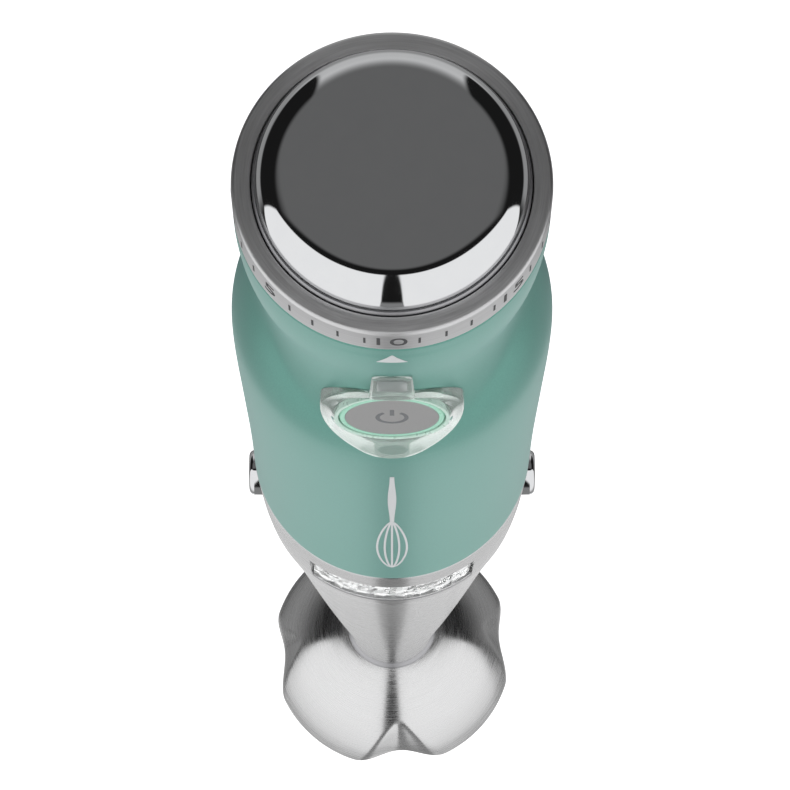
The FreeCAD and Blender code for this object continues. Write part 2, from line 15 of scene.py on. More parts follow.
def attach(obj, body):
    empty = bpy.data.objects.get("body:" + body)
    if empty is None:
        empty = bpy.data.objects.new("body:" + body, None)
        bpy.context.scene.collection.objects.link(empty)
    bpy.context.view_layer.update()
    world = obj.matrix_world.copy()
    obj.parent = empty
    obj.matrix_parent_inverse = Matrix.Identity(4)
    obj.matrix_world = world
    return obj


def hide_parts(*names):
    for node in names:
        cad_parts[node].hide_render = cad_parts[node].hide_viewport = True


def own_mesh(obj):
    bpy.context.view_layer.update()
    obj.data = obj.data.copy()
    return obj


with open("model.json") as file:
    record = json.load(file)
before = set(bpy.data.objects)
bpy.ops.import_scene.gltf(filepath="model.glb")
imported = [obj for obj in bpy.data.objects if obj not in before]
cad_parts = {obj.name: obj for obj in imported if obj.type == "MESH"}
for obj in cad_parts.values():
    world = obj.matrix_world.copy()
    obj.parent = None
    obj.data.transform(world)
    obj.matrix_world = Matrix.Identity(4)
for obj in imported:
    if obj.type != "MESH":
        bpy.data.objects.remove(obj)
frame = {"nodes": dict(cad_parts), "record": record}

LOG = logging.getLogger("stick_blender")
MM = 0.001
FINE_STEPS = 192
SHARP = 32.0
BUTTON_FACE = (0.0, -33.0, 341.0)
BUTTON_TILT = 4.5
BUTTON_TURN = Matrix.Rotation(math.radians(90 - BUTTON_TILT), 3, "X")
RELEASE_HEIGHT = 184.0
# Brushed lines run around the axis, so their highlights stretch along it, a quarter turn from the tangent.
QUARTER_TURN = 0.25

Point = tuple[float, float]
Triple = tuple[float, float, float]
Socket = bpy.types.NodeSocket


class Body(Enum):
    """Rigid bodies of the blender that the finished pieces ride on."""

    MOTOR = "motor_unit"
    DIAL = "speed_dial"
    BUTTON = "on_button"
    LEFT = "release_left"
    RIGHT = "release_right"
    SHAFT = "shaft_unit"


class Grain(Enum):
    """Which way the lines of a worked metal surface run."""

    AROUND = "around the axis"
    FLARED = "around the axis, on a form that widens downwards"
    NONE = "no lines"


# ---- materials ------------------------------------------------------------------------------------
def linear(colour: str) -> tuple[float, float, float, float]:
    """Turn an sRGB hex colour into linear RGBA.

    Args:
        colour: six hex digits, such as "7fb5a6".

    Returns:
        Linear red, green, blue and an alpha of 1.
    """
    parts = [int(colour[i:i + 2], 16) / 255 for i in (0, 2, 4)]
    values = [c / 12.92 if c <= 0.04045 else ((c + 0.055) / 1.055) ** 2.4 for c in parts]
    return values[0], values[1], values[2], 1.0


def add_node(tree: bpy.types.NodeTree, kind: str, settings: Optional[dict] = None,
             links: Optional[dict] = None) -> bpy.types.Node:
    """Add one node with its settings and its incoming links.

    Args:
        tree: the tree that gets the node.
        kind: the node's type name.
        settings: values by attribute name, or by input name or number.
        links: output sockets by input name or number.

    Returns:
        The new node.
    """
    node = tree.nodes.new(kind)
    for key, value in (settings or {}).items():
        if isinstance(key, int) or key in node.inputs:
            node.inputs[key].default_value = value
        else:
            setattr(node, key, value)
    for key, source in (links or {}).items():
        tree.links.new(source, node.inputs[key])
    return node


@dataclass(frozen=True)
class Finish:
    """A surface finish: colour, gloss and fine relief of one real material.

    Attributes:
        name: plain name of the material and how its surface was made.
        colour: sRGB hex of the surface.
        shade: sRGB hex of its darker variation.
        metallic: 1 for bare metal, 0 for anything else.
        roughness: mean roughness.
        grain_mm: real size of the surface pattern.
        relief_mm: height of the surface pattern.
        spread: how much the roughness varies with the pattern.
        lines: which way worked lines run.
        anisotropic: how far highlights stretch across the lines.
        extra: constant values set on the shader's own sockets.
    """

    name: str
    colour: str
    shade: str
    metallic: float = 0.0
    roughness: float = 0.4
    grain_mm: float = 0.5
    relief_mm: float = 0.002
    spread: float = 0.08
    lines: Grain = Grain.NONE
    anisotropic: float = 0.0
    extra: tuple[tuple[str, object], ...] = ()

    def pattern(self, tree: bpy.types.NodeTree) -> Socket:
        """Build the pattern that drives colour, roughness and relief.

        Args:
            tree: the material's node tree.

        Returns:
            A 0 to 1 value socket.
        """
        place = add_node(tree, "ShaderNodeTexCoord").outputs["Object"]
        if self.lines is Grain.NONE:
            scale = 1.0 / (self.grain_mm * MM)
            noise = add_node(tree, "ShaderNodeTexNoise", {"Scale": scale, "Detail": 3.0}, {"Vector": place})
            return noise.outputs["Fac"]
        parts = add_node(tree, "ShaderNodeSeparateXYZ", links={0: place})
        across = add_node(tree, "ShaderNodeCombineXYZ",
                          links={"X": parts.outputs["X"], "Y": parts.outputs["Y"]})
        radius = add_node(tree, "ShaderNodeVectorMath", {"operation": "LENGTH"}, {0: across.outputs[0]})
        heading = add_node(tree, "ShaderNodeVectorMath", {"operation": "NORMALIZE"}, {0: across.outputs[0]})
        slow = add_node(tree, "ShaderNodeVectorMath", {"operation": "SCALE", "Scale": 2.6},
                        {0: heading.outputs["Vector"]})
        kind = "SUBTRACT" if self.lines is Grain.FLARED else "ADD"
        travel = add_node(tree, "ShaderNodeMath", {"operation": kind},
                          {0: radius.outputs["Value"], 1: parts.outputs["Z"]})
        fast = add_node(tree, "ShaderNodeMath", {"operation": "MULTIPLY", 1: 1.0 / (self.grain_mm * MM)},
                        {0: travel.outputs[0]})
        rise = add_node(tree, "ShaderNodeCombineXYZ", links={"Z": fast.outputs[0]})
        where = add_node(tree, "ShaderNodeVectorMath", {"operation": "ADD"},
                         {0: slow.outputs[0], 1: rise.outputs[0]})
        noise = add_node(tree, "ShaderNodeTexNoise", {"Scale": 1.0, "Detail": 4.0, "Roughness": 0.65},
                         {"Vector": where.outputs[0]})
        return noise.outputs["Fac"]

    def material(self) -> bpy.types.Material:
        """Make the node material.

        Returns:
            The material, named for the finish.
        """
        made = bpy.data.materials.get(self.name)
        if made:
            return made
        made = bpy.data.materials.new(self.name)
        made.use_nodes = True
        tree = made.node_tree
        tree.nodes.clear()
        value = self.pattern(tree)
        shades = add_node(tree, "ShaderNodeMix", {"data_type": "RGBA", 6: linear(self.shade),
                                                  7: linear(self.colour)}, {0: value})
        span = {"From Min": 0.25, "From Max": 0.75, "To Min": max(self.roughness - self.spread, 0.0),
                "To Max": self.roughness + self.spread}
        rough = add_node(tree, "ShaderNodeMapRange", span, {"Value": value})
        relief = add_node(tree, "ShaderNodeBump", {"Strength": 1.0, "Distance": self.relief_mm * MM},
                          {"Height": value})
        settings = {"Metallic": self.metallic, "Anisotropic": self.anisotropic}
        settings.update(dict(self.extra))
        links = {"Base Color": shades.outputs[2], "Roughness": rough.outputs[0], "Normal": relief.outputs[0]}
        if self.lines is not Grain.NONE:
            links["Tangent"] = add_node(tree, "ShaderNodeTangent",
                                        {"direction_type": "RADIAL", "axis": "Z"}).outputs[0]
            settings["Anisotropic Rotation"] = QUARTER_TURN
        shader = add_node(tree, "ShaderNodeBsdfPrincipled", settings, links)
        add_node(tree, "ShaderNodeOutputMaterial", links={"Surface": shader.outputs[0]})
        return made


# Pearl lacquer: tiny mica flakes give a soft metallic mint that turns lavender where it is seen edge-on.
PEARL_LACQUER = Finish("pearl_lacquer", "7cbbad", "5c9a8d", 0.68, 0.42, 0.34, 0.0010, 0.04,
                       extra=(("Coat Weight", 0.08), ("Coat Roughness", 0.3), ("Sheen Weight", 0.09),
                              ("Sheen Roughness", 0.4), ("Sheen Tint", linear("b39ad0"))))
# Hard chrome plate: a mirror with a faint cool cast and hardly any texture.
CHROME_PLATE = Finish("chrome_plate", "d9dadb", "d4d5d7", 1.0, 0.04, 4.0, 0.0002, 0.01)
# Stainless steel turned with a belt: fine lines around the axis and highlights that stretch across them.
# The lines are drawn about three times as coarse as real ones so that they show.
BRUSHED_STAINLESS = Finish("brushed_stainless", "d4d4d4", "bcbcbd", 1.0, 0.27, 0.30, 0.0014, 0.08,
                           Grain.AROUND, 0.85)
# The bell's sheet, spun and then brushed by hand: the same steel with weaker lines.
SPUN_STAINLESS = Finish("spun_stainless", "ebebeb", "c8c8c9", 1.0, 0.25, 0.35, 0.0018, 0.09,
                        Grain.FLARED, 0.88)
# The same steel on the dial, turned finer and a little darker on its top face.
DIAL_STAINLESS = Finish("dial_stainless", "eaeaeb", "b6b6b7", 1.0, 0.38, 0.32, 0.0026, 0.09,
                        Grain.AROUND, 0.6)
# Satin nickel: a soft even grey without visible lines.
SATIN_NICKEL = Finish("satin_nickel", "b6b6b8", "a8a8ab", 1.0, 0.38, 0.8, 0.0008, 0.04)
# Clear acrylic, moulded and polished: bright rims and a view through to the lacquer behind.
CLEAR_ACRYLIC = Finish("clear_acrylic", "e9fff6", "e2f9ef", 0.0, 0.03, 6.0, 0.0004, 0.01,
                       extra=(("Transmission Weight", 0.78), ("IOR", 1.49), ("Coat Weight", 1.0),
                              ("Coat IOR", 3.6), ("Coat Roughness", 0.05)))
# Cut acrylic for the light bar: the same plastic with sharp facets.
CUT_ACRYLIC = Finish("cut_acrylic", "ffffff", "f8fafa", 0.0, 0.02, 3.0, 0.0004, 0.01,
                     extra=(("Transmission Weight", 0.9), ("IOR", 1.49)))
# White reflector behind the light bar; its faint emission is a painted glow that brightens the shaded slot.
PAINTED_GLOW_REFLECTOR = Finish("white_reflector_painted_glow", "f6f7f7", "eef0f0", 0.0, 0.4, 1.5, 0.0010, 0.05,
                       extra=(("Emission Color", linear("ffffff")), ("Emission Strength", 0.22)))
# Frosted acrylic around the button: pale, with the mint of the button in it.
FROSTED_ACRYLIC = Finish("frosted_acrylic", "daf3e8", "cdeadc", 0.0, 0.3, 0.9, 0.0012, 0.05,
                         extra=(("Transmission Weight", 0.25), ("IOR", 1.49)))
# Smoked polycarbonate lens: dark glassy grey.
SMOKED_LENS = Finish("smoked_polycarbonate", "98a19f", "868f8d", 0.0, 0.12, 3.0, 0.0004, 0.03,
                     extra=(("Transmission Weight", 0.25), ("IOR", 1.58)))
# Tinted thermoplastic of the button: milky pale mint that glows a little at its rim.
MILKY_MINT = Finish("milky_mint_plastic", "a3d8c2", "98cdb6", 0.0, 0.3, 1.2, 0.0010, 0.05)
# Bead-blasted aluminium of the button's face: an even mid grey.
BLASTED_ALUMINIUM = Finish("blasted_aluminium", "d2d2d2", "c2c2c2", 1.0, 0.48, 0.28, 0.0040, 0.06)
# Pad-printed dark ink of the numbers: flat and slightly rough.
DARK_INK = Finish("dark_pad_print", "3a3b3d", "303133", 0.0, 0.6, 0.15, 0.0008, 0.08)
# Pad-printed silver ink: light grey flakes in clear binder.
SILVER_INK = Finish("silver_pad_print", "dcdedf", "cfd2d4", 0.35, 0.38, 0.12, 0.0008, 0.06)
# Moulded black ABS of the inner frames: fine spark-eroded texture.
BLACK_ABS = Finish("moulded_black_abs", "1c1d1f", "151618", 0.0, 0.55, 0.35, 0.0060, 0.08)
# Moulded grey nylon with glass fibre: dull with faint mottling.
GREY_NYLON = Finish("moulded_grey_nylon", "6b6d70", "606265", 0.0, 0.5, 0.5, 0.0050, 0.08)
# Synthetic rubber: matt black that scatters light at its edges.
RUBBER = Finish("black_rubber", "181818", "111111", 0.0, 0.75, 0.3, 0.0080, 0.06)
# White solder mask over copper, as on lamp boards.
LAMP_BOARD = Finish("white_solder_mask", "eceeed", "e2e5e4", 0.0, 0.35, 1.0, 0.0015, 0.05)
# Green solder mask over copper.
CIRCUIT_BOARD = Finish("green_solder_mask", "1f6a45", "185a3a", 0.0, 0.32, 0.9, 0.0040, 0.06)
# Moulded epoxy and vinyl of the board's components.
EPOXY = Finish("moulded_epoxy", "2b2c30", "232428", 0.0, 0.4, 0.6, 0.0030, 0.06)
# Lamp emitter: pale yellow phosphor under silicone.
PHOSPHOR = Finish("lamp_phosphor", "f6ecc0", "efe2a8", 0.0, 0.3, 0.8, 0.0010, 0.05,
                  extra=(("Emission Color", linear("fff6dd")), ("Emission Strength", 0.6)))
# Die-cast aluminium: light grey with a fine sandy skin.
DIE_CAST = Finish("die_cast_aluminium", "a9abad", "989a9d", 1.0, 0.5, 0.7, 0.0080, 0.08)
# Enamelled copper wire, packed tight.
ENAMELLED_COPPER = Finish("enamelled_copper", "c0703c", "9c5228", 1.0, 0.32, 0.6, 0.0200, 0.08)
# Stacked electrical steel: dark blue-grey edges of thin sheets.
LAMINATIONS = Finish("stacked_electrical_steel", "5b5e63", "43464a", 1.0, 0.45, 0.5, 0.0150, 0.08,
                     Grain.AROUND, 0.2)
# Ground bearing steel: bright with fine turning lines.
GROUND_STEEL = Finish("ground_steel", "bfc1c4", "adafb2", 1.0, 0.22, 0.2, 0.0015, 0.05, Grain.AROUND, 0.4)
# Drawn spring wire.
SPRING_WIRE = Finish("drawn_spring_wire", "9fa1a4", "8d8f92", 1.0, 0.28, 0.3, 0.0010, 0.05)
# Pressed carbon brush: black, sooty.
CARBON = Finish("pressed_carbon", "202123", "17181a", 0.0, 0.7, 0.3, 0.0050, 0.05)
# Sintered bronze: warm brown with open pores.
SINTERED_BRONZE = Finish("sintered_bronze", "9a7442", "7d5c31", 1.0, 0.42, 0.4, 0.0100, 0.08)
# Ground cutting steel of the blade.
BLADE_STEEL = Finish("ground_blade_steel", "cfd1d3", "bcbec1", 1.0, 0.2, 0.25, 0.0020, 0.06)

SLOT_FINISHES: dict[str, Finish] = {
    "shell_paint": PEARL_LACQUER, "pointer_paint": SILVER_INK, "cap_chrome": CHROME_PLATE,
    "dial_steel": DIAL_STAINLESS, "lip_steel": SATIN_NICKEL, "body_steel": BRUSHED_STAINLESS,
    "clear_plastic": CLEAR_ACRYLIC, "smoke_lens": SMOKED_LENS, "mint_plastic": MILKY_MINT,
    "button_metal": BLASTED_ALUMINIUM, "dark_plastic": BLACK_ABS, "grey_plastic": GREY_NYLON,
    "board": CIRCUIT_BOARD, "components": EPOXY, "emitter": PHOSPHOR, "cast_metal": DIE_CAST,
    "copper": ENAMELLED_COPPER, "lamination": LAMINATIONS, "shaft_steel": GROUND_STEEL,
    "spring_steel": SPRING_WIRE, "carbon": CARBON, "rubber": RUBBER, "bronze": SINTERED_BRONZE,
    "blade_steel": BLADE_STEEL,
}


# ---- shaping --------------------------------------------------------------------------------------
def flowing(points: Sequence[Point], step: float = 0.8) -> list[Point]:
    """Run a natural cubic through a few points and sample it finely.

    Args:
        points: (position, value) pairs with rising position, in millimetres.
        step: sampling distance along the position.

    Returns:
        Finely spaced (position, value) pairs.
    """
    knots = numpy.array([p[0] for p in points], dtype=float)
    values = numpy.array([p[1] for p in points], dtype=float)
    gaps = numpy.diff(knots)
    slopes = numpy.diff(values) / gaps
    system = numpy.eye(len(knots))
    right = numpy.zeros(len(knots))
    for i in range(1, len(knots) - 1):
        system[i, i - 1:i + 2] = gaps[i - 1], 2 * (gaps[i - 1] + gaps[i]), gaps[i]
        right[i] = 6 * (slopes[i] - slopes[i - 1])
    bends = numpy.linalg.solve(system, right)
    count = max(int(round((knots[-1] - knots[0]) / step)), 2)
    result = []
    for at in numpy.linspace(knots[0], knots[-1], count + 1):
        i = min(max(int(numpy.searchsorted(knots, at)) - 1, 0), len(gaps) - 1)
        a = knots[i + 1] - at
        b = at - knots[i]
        value = (bends[i] * a ** 3 + bends[i + 1] * b ** 3) / (6 * gaps[i])
        value += (values[i] / gaps[i] - bends[i] * gaps[i] / 6) * a
        value += (values[i + 1] / gaps[i] - bends[i + 1] * gaps[i] / 6) * b
        result.append((float(at), float(value)))
    return result


def arc(centre: Point, size: Point, start: float, end: float, count: int = 10) -> list[Point]:
    """Points on an elliptical arc.

    Args:
        centre: centre of the arc.
        size: the two half axes.
        start: first angle in degrees.
        end: last angle in degrees.
        count: number of steps.

    Returns:
        The points, both ends included.
    """
    angles = [math.radians(start + (end - start) * k / count) for k in range(count + 1)]
    return [(centre[0] + size[0] * math.cos(a), centre[1] + size[1] * math.sin(a)) for a in angles]


def walled(line: Sequence[Point], wall: float, foot: Sequence[Point] = ((0.0, 0.0),),
           head: Sequence[Point] = ((0.0, 0.0),)) -> list[Point]:
    """Outline of a wall that stands inside a line, with its outer corners rolled.

    Args:
        line: outer line as (height, radius), from the foot up.
        wall: thickness of the wall.
        foot: steps from the line's first point, as (radius, height), that take its place.
        head: the same for its last point.

    Returns:
        The outline as (radius, height).
    """
    outer = [(radius, height) for height, radius in line]
    inner = [(radius - wall, height) for radius, height in reversed(outer)]
    (low_radius, low), (high_radius, high) = outer[0], outer[-1]
    return ([(low_radius + out, low + up) for out, up in foot] + outer[1:-1]
            + [(high_radius + out, high + up) for out, up in head] + inner)


def piece_from(name: str, shape: bmesh.types.BMesh, sharp: float = SHARP) -> bpy.types.Object:
    """Turn a bmesh in millimetres into a shaded object in metres.

    Args:
        name: name of the piece.
        shape: the bmesh, which is freed.
        sharp: edges that turn by more degrees than this stay crisp.

    Returns:
        The object, standing at the origin.
    """
    bmesh.ops.remove_doubles(shape, verts=shape.verts[:], dist=0.0005)
    bmesh.ops.recalc_face_normals(shape, faces=shape.faces[:])
    if shape.calc_volume(signed=True) < 0:
        bmesh.ops.reverse_faces(shape, faces=shape.faces[:])
    bmesh.ops.scale(shape, vec=(MM, MM, MM), verts=shape.verts[:])
    mesh = bpy.data.meshes.new(name)
    shape.to_mesh(mesh)
    shape.free()
    mesh.shade_smooth()
    mesh.set_sharp_from_angle(angle=math.radians(sharp))
    piece = bpy.data.objects.new(name, mesh)
    bpy.context.scene.collection.objects.link(piece)
    return piece


def turned(profile: Sequence[Point], closed: bool = True, steps: int = FINE_STEPS, start: float = 0.0,
           sweep: float = 360.0) -> bmesh.types.BMesh:
    """Spin a (radius, height) outline about the vertical axis.

    Args:
        profile: outline points in order.
        closed: whether the last point joins the first.
        steps: number of steps around.
        start: heading of the first section in degrees from +X.
        sweep: degrees turned.

    Returns:
        The turned bmesh in millimetres.
    """
    shape = bmesh.new()
    heading = Matrix.Rotation(math.radians(start), 3, "Z")
    verts = [shape.verts.new(heading @ Vector((radius, 0.0, height))) for radius, height in profile]
    edges = [shape.edges.new(pair) for pair in zip(verts, verts[1:])]
    if closed:
        edges.append(shape.edges.new((verts[-1], verts[0])))
    full = abs(sweep - 360.0) < 1e-6
    if not full and closed:
        shape.faces.new(verts)
    bmesh.ops.spin(shape, geom=verts + edges, cent=(0, 0, 0), axis=(0, 0, 1), dvec=(0, 0, 0),
                   angle=math.radians(sweep), steps=steps, use_merge=full, use_normal_flip=False,
                   use_duplicate=False)
    if not full and closed:
        shape.verts.ensure_lookup_table()
        bmesh.ops.holes_fill(shape, edges=[e for e in shape.edges if e.is_boundary], sides=len(verts))
    return shape


def front_arc(profile: Sequence[Point], half_angle: float, steps: int) -> bmesh.types.BMesh:
    """Sweep a (radius, height) outline around the front only.

    Args:
        profile: outline points in order.
        half_angle: degrees to each side of the front.
        steps: number of steps.

    Returns:
        The closed bmesh in millimetres.
    """
    return turned(profile, steps=steps, start=-90 - half_angle, sweep=2 * half_angle)


def lofted(loops: Sequence[Sequence[Vector]], closed: bool = False) -> bmesh.types.BMesh:
    """Skin a row of equally divided loops.

    Args:
        loops: closed loops of points, all with the same count.
        closed: whether the last loop joins the first, else both ends are filled.

    Returns:
        The bmesh in millimetres.
    """
    shape = bmesh.new()
    rims = []
    for points in loops:
        ring = bmesh.ops.create_circle(shape, segments=len(points), radius=1.0)["verts"]
        for vert, point in zip(ring, points):
            vert.co = point
        rims.append(list(dict.fromkeys(edge for vert in ring for edge in vert.link_edges)))
    pairs = list(zip(rims, rims[1:]))
    if closed:
        pairs.append((rims[-1], rims[0]))
    for lower, upper in pairs:
        bmesh.ops.bridge_loops(shape, edges=lower + upper)
    if not closed:
        for rim in (rims[0], rims[-1]):
            bmesh.ops.holes_fill(shape, edges=rim, sides=len(rim))
    return shape


def soften(shape: bmesh.types.BMesh, edges: Sequence[bmesh.types.BMEdge], radius: float,
           segments: int) -> None:
    """Round some edges of a bmesh.

    Args:
        shape: the bmesh.
        edges: the edges to round.
        radius: radius of the rounding.
        segments: steps of the rounding.
    """
    bmesh.ops.bevel(shape, geom=edges, offset=radius, offset_type="OFFSET", affect="EDGES",
                    segments=segments, profile=0.5, material=-1)


def block(size: Sequence[float]) -> bmesh.types.BMesh:
    """Block about the origin.

    Args:
        size: width, depth and height in millimetres.

    Returns:
        The bmesh in millimetres.
    """
    shape = bmesh.new()
    bmesh.ops.create_cube(shape, size=1.0)
    bmesh.ops.scale(shape, vec=size, verts=shape.verts[:])
    return shape


def marking_bar(size: Sequence[float], edge: float) -> bmesh.types.BMesh:
    """Thin bar about the origin with all its edges cut back a little.

    Args:
        size: width, depth and height in millimetres.
        edge: how far the edges are cut back.

    Returns:
        The bmesh in millimetres.
    """
    shape = block(size)
    soften(shape, shape.edges[:], edge, 1)
    return shape


def thicken(shape: bmesh.types.BMesh, depth: float) -> bmesh.types.BMesh:
    """Give a flat print its thickness.

    Args:
        shape: the print, flat in the xz plane.
        depth: its thickness along +y.

    Returns:
        The same bmesh.
    """
    front = bmesh.ops.extrude_face_region(shape, geom=shape.faces[:])["geom"]
    verts = [part for part in front if isinstance(part, bmesh.types.BMVert)]
    bmesh.ops.translate(shape, vec=(0, depth, 0), verts=verts)
    return shape


def join(shape: bmesh.types.BMesh, part: bmesh.types.BMesh) -> None:
    """Add one bmesh to another.

    Args:
        shape: the bmesh that grows.
        part: the bmesh that is added to it and freed.
    """
    mesh = bpy.data.meshes.new("part")
    part.to_mesh(mesh)
    part.free()
    shape.from_mesh(mesh)
    bpy.data.meshes.remove(mesh)


def drill(piece: bpy.types.Object, cutters: Iterable[bpy.types.Object]) -> None:
    """Cut closed shapes out of a piece and remove the cutters.

    Args:
        piece: the piece to cut.
        cutters: closed objects that are used up.
    """
    for cutter in cutters:
        cut = piece.modifiers.new("cut", "BOOLEAN")
        cut.operation = "DIFFERENCE"
        cut.solver = "EXACT"
        cut.object = cutter
        bpy.context.view_layer.update()
        graph = bpy.context.evaluated_depsgraph_get()
        mesh = bpy.data.meshes.new_from_object(piece.evaluated_get(graph))
        piece.modifiers.remove(cut)
        old = piece.data
        piece.data = mesh
        bpy.data.meshes.remove(old)
        mesh.name = piece.name
        tool = cutter.data
        bpy.data.objects.remove(cutter)
        bpy.data.meshes.remove(tool)
    piece.data.shade_smooth()
    piece.data.set_sharp_from_angle(angle=math.radians(SHARP))


def moved(shape: bmesh.types.BMesh, turn: Matrix, shift: Sequence[float] = (0, 0, 0)) -> bmesh.types.BMesh:
    """Turn and then shift a bmesh.

    Args:
        shape: the bmesh.
        turn: rotation matrix.
        shift: translation in millimetres.

    Returns:
        The same bmesh.
    """
    bmesh.ops.transform(shape, matrix=Matrix.Translation(shift) @ turn.to_4x4(), verts=shape.verts[:])
    return shape


def rod(radius: float, length: float, turn: Matrix, middle: Sequence[float], steps: int) -> bpy.types.Object:
    """Closed cylinder that drills a hole.

    Args:
        radius: its radius.
        length: its length.
        turn: rotation from +Z to its direction.
        middle: its middle in millimetres.
        steps: number of steps around.

    Returns:
        The cutter.
    """
    shape = bmesh.new()
    bmesh.ops.create_cone(shape, cap_ends=True, segments=steps, radius1=radius, radius2=radius, depth=length)
    return piece_from("rod", moved(shape, turn, middle))


def sideways(side: int) -> Matrix:
    """Rotation that turns +Z to the right for 1 and to the left for -1."""
    return Matrix.Rotation(math.radians(90 * side), 3, "Y")


def place(piece: bpy.types.Object, body: Body, slot: str, finish: Optional[Finish] = None,
          stands_for: Sequence[str] = ()) -> None:
    """Dress a piece, let it ride on its body and say which nodes it stands for.

    Args:
        piece: the finished piece.
        body: body that it moves with.
        slot: material slot of the record.
        finish: finish where it differs from the slot's own.
        stands_for: nodes that it replaces.
    """
    piece.data.materials.clear()
    piece.data.materials.append((finish or SLOT_FINISHES[slot]).material())
    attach(piece, body.value)
    if stands_for:
        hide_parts(*stands_for)
    LOG.info("%s: %d faces on %s", piece.name, len(piece.data.polygons), body.value)


# ---- the grip -------------------------------------------------------------------------------------
@dataclass
class GripHousing:
    """Lacquered shell of the grip, its prints and the steel collar under it.

    Attributes:
        profile: outer outline as (height, radius).
        front: outline of the fuller front as (height, radius) about an axis set forward.
        forward: how far forward that axis stands.
        blend: how softly the front runs into the waist.
        wall: thickness of the shell.
        collar: outline of the steel collar as (height, radius).
        collar_wall: thickness of the collar.
        slot_height: lower and upper edge of the light slot.
        slot_half_angle: half of the slot's angle.
        button_bore: radius and middle of the hole for the thumb button.
        inlet_bore: radius and middle of the hole for the cord.
        release_radius: radius of the holes for the release buttons.
        pointer_size: half width, foot and tip of the pointer.
        whisk_loops: half widths of the whisk's wires.
        whisk_ends: lowest point of the wires, foot of the handle and its end.
        print_lift: how far the prints' backs stand off the lacquer.
    """

    profile: tuple[Point, ...] = (
        (207.8, 33.0), (235.0, 33.2), (260.0, 33.7), (285.0, 34.3), (310.0, 34.7), (318.0, 34.4),
        (326.0, 33.1), (334.0, 31.0), (341.0, 29.0), (347.5, 28.3), (355.0, 29.2), (362.0, 30.5),
        (370.0, 31.5), (378.0, 31.95), (384.5, 32.0))
    front: tuple[Point, ...] = (
        (316.0, 28.9), (322.0, 28.85), (328.0, 28.1), (334.0, 27.3), (341.0, 26.5), (348.0, 26.0),
        (355.0, 25.95), (362.0, 26.1), (369.0, 26.4), (376.0, 26.6), (380.0, 26.6))
    forward: float = 5.0
    blend: float = 0.5
    wall: float = 2.0
    collar: tuple[Point, ...] = ((176.3, 31.25), (184.0, 31.9), (195.0, 32.5), (207.5, 33.0))
    collar_wall: float = 1.2
    slot_height: Point = (181.0, 198.0)
    slot_half_angle: float = 37.5
    button_bore: tuple[float, Triple] = (11.4, (0.0, -29.0, 340.7))
    inlet_bore: tuple[float, Triple] = (6.52, (0.0, 28.0, 356.0))
    release_radius: float = 5.85
    pointer_size: Triple = (3.15, 376.5, 381.2)
    whisk_loops: Triple = (0.0, 2.0, 4.1)
    whisk_ends: tuple[int, int, int] = (219, 262, 302)
    print_lift: float = 0.01

    def __post_init__(self) -> None:
        """Sample both outlines once."""
        self.main_line = numpy.array(flowing(self.profile, 0.5)).T
        self.front_line = numpy.array(flowing(self.front, 0.5)).T

    def reach(self, angle: float, height: float) -> float:
        """Distance from the axis to the lacquer.

        Args:
            angle: radians from the front.
            height: height in millimetres.

        Returns:
            The distance in millimetres.
        """
        base = float(numpy.interp(height, *self.main_line))
        if not self.front[0][0] < height < self.front[-1][0] or math.cos(angle) < 0.1:
            return base
        radius = float(numpy.interp(height, *self.front_line))
        ahead = self.forward * math.cos(angle)
        more = ahead + math.sqrt(radius ** 2 - (self.forward * math.sin(angle)) ** 2) - base
        ease = min(1.0, (math.cos(angle) - 0.1) / 0.2)
        return base + ease * max(0.5 * (more + math.hypot(more, self.blend)) - 0.04, 0.0)

    def face(self, x: float, height: float) -> float:
        """How far forward the lacquer stands at a point of the front view.

        Args:
            x: distance to the right of the middle.
            height: height in millimetres.

        Returns:
            The place on the y axis, which is negative.
        """
        angle = math.asin(max(min(x / 31.0, 0.99), -0.99))
        for _ in range(4):
            angle = math.asin(max(min(x / self.reach(angle, height), 0.99), -0.99))
        return -self.reach(angle, height) * math.cos(angle)

    def shell(self) -> None:
        """Make the lacquered shell with rolled edges and the holes for the thumb button and the cord."""
        shape = turned(walled(flowing(self.profile, 1.0), self.wall, ((-0.35, 0.0), (-0.08, 0.1), (0.0, 0.4)),
                              ((0.0, -0.5), (-0.12, -0.12), (-0.5, 0.0))))
        for vert in shape.verts:
            angle = math.atan2(vert.co.x, -vert.co.y)
            more = self.reach(angle, vert.co.z) - self.reach(math.pi, vert.co.z)
            if more:
                vert.co.xy *= 1.0 + more / vert.co.xy.length
        piece = piece_from("shell", shape)
        (bore, bore_middle), (inlet, inlet_middle) = self.button_bore, self.inlet_bore
        backwards = Matrix.Rotation(math.radians(90), 3, "X")
        drill(piece, [rod(bore, 22.0, BUTTON_TURN, bore_middle, 96),
                      rod(inlet, 16.0, backwards, inlet_middle, 64)])
        place(piece, Body.MOTOR, "shell_paint", stands_for=["housing_shell"])

    def wrapped(self, shape: bmesh.types.BMesh) -> bmesh.types.BMesh:
        """Lay a flat print around the shell.

        Args:
            shape: flat print, x across, z up, y the thickness from 0 outward.

        Returns:
            The same bmesh.
        """
        for vert in shape.verts:
            angle = vert.co.x / self.reach(0.0, vert.co.z)
            reach = self.reach(angle, vert.co.z) + self.print_lift + vert.co.y
            vert.co = Vector((reach * math.sin(angle), -reach * math.cos(angle), vert.co.z))
        return shape

    def pointer(self) -> None:
        """Make the printed triangle that points at the dial."""
        half, foot, tip = self.pointer_size
        shape = bmesh.new()
        corners = ((-half, 0.0, foot), (half, 0.0, foot), (0.0, 0.0, tip))
        shape.faces.new([shape.verts.new(corner) for corner in corners])
        bmesh.ops.subdivide_edges(shape, edges=shape.edges[:], cuts=5, use_grid_fill=True)
        piece = piece_from("pointer", self.wrapped(thicken(shape, 0.08)))
        place(piece, Body.MOTOR, "pointer_paint", stands_for=["pointer_mark"])

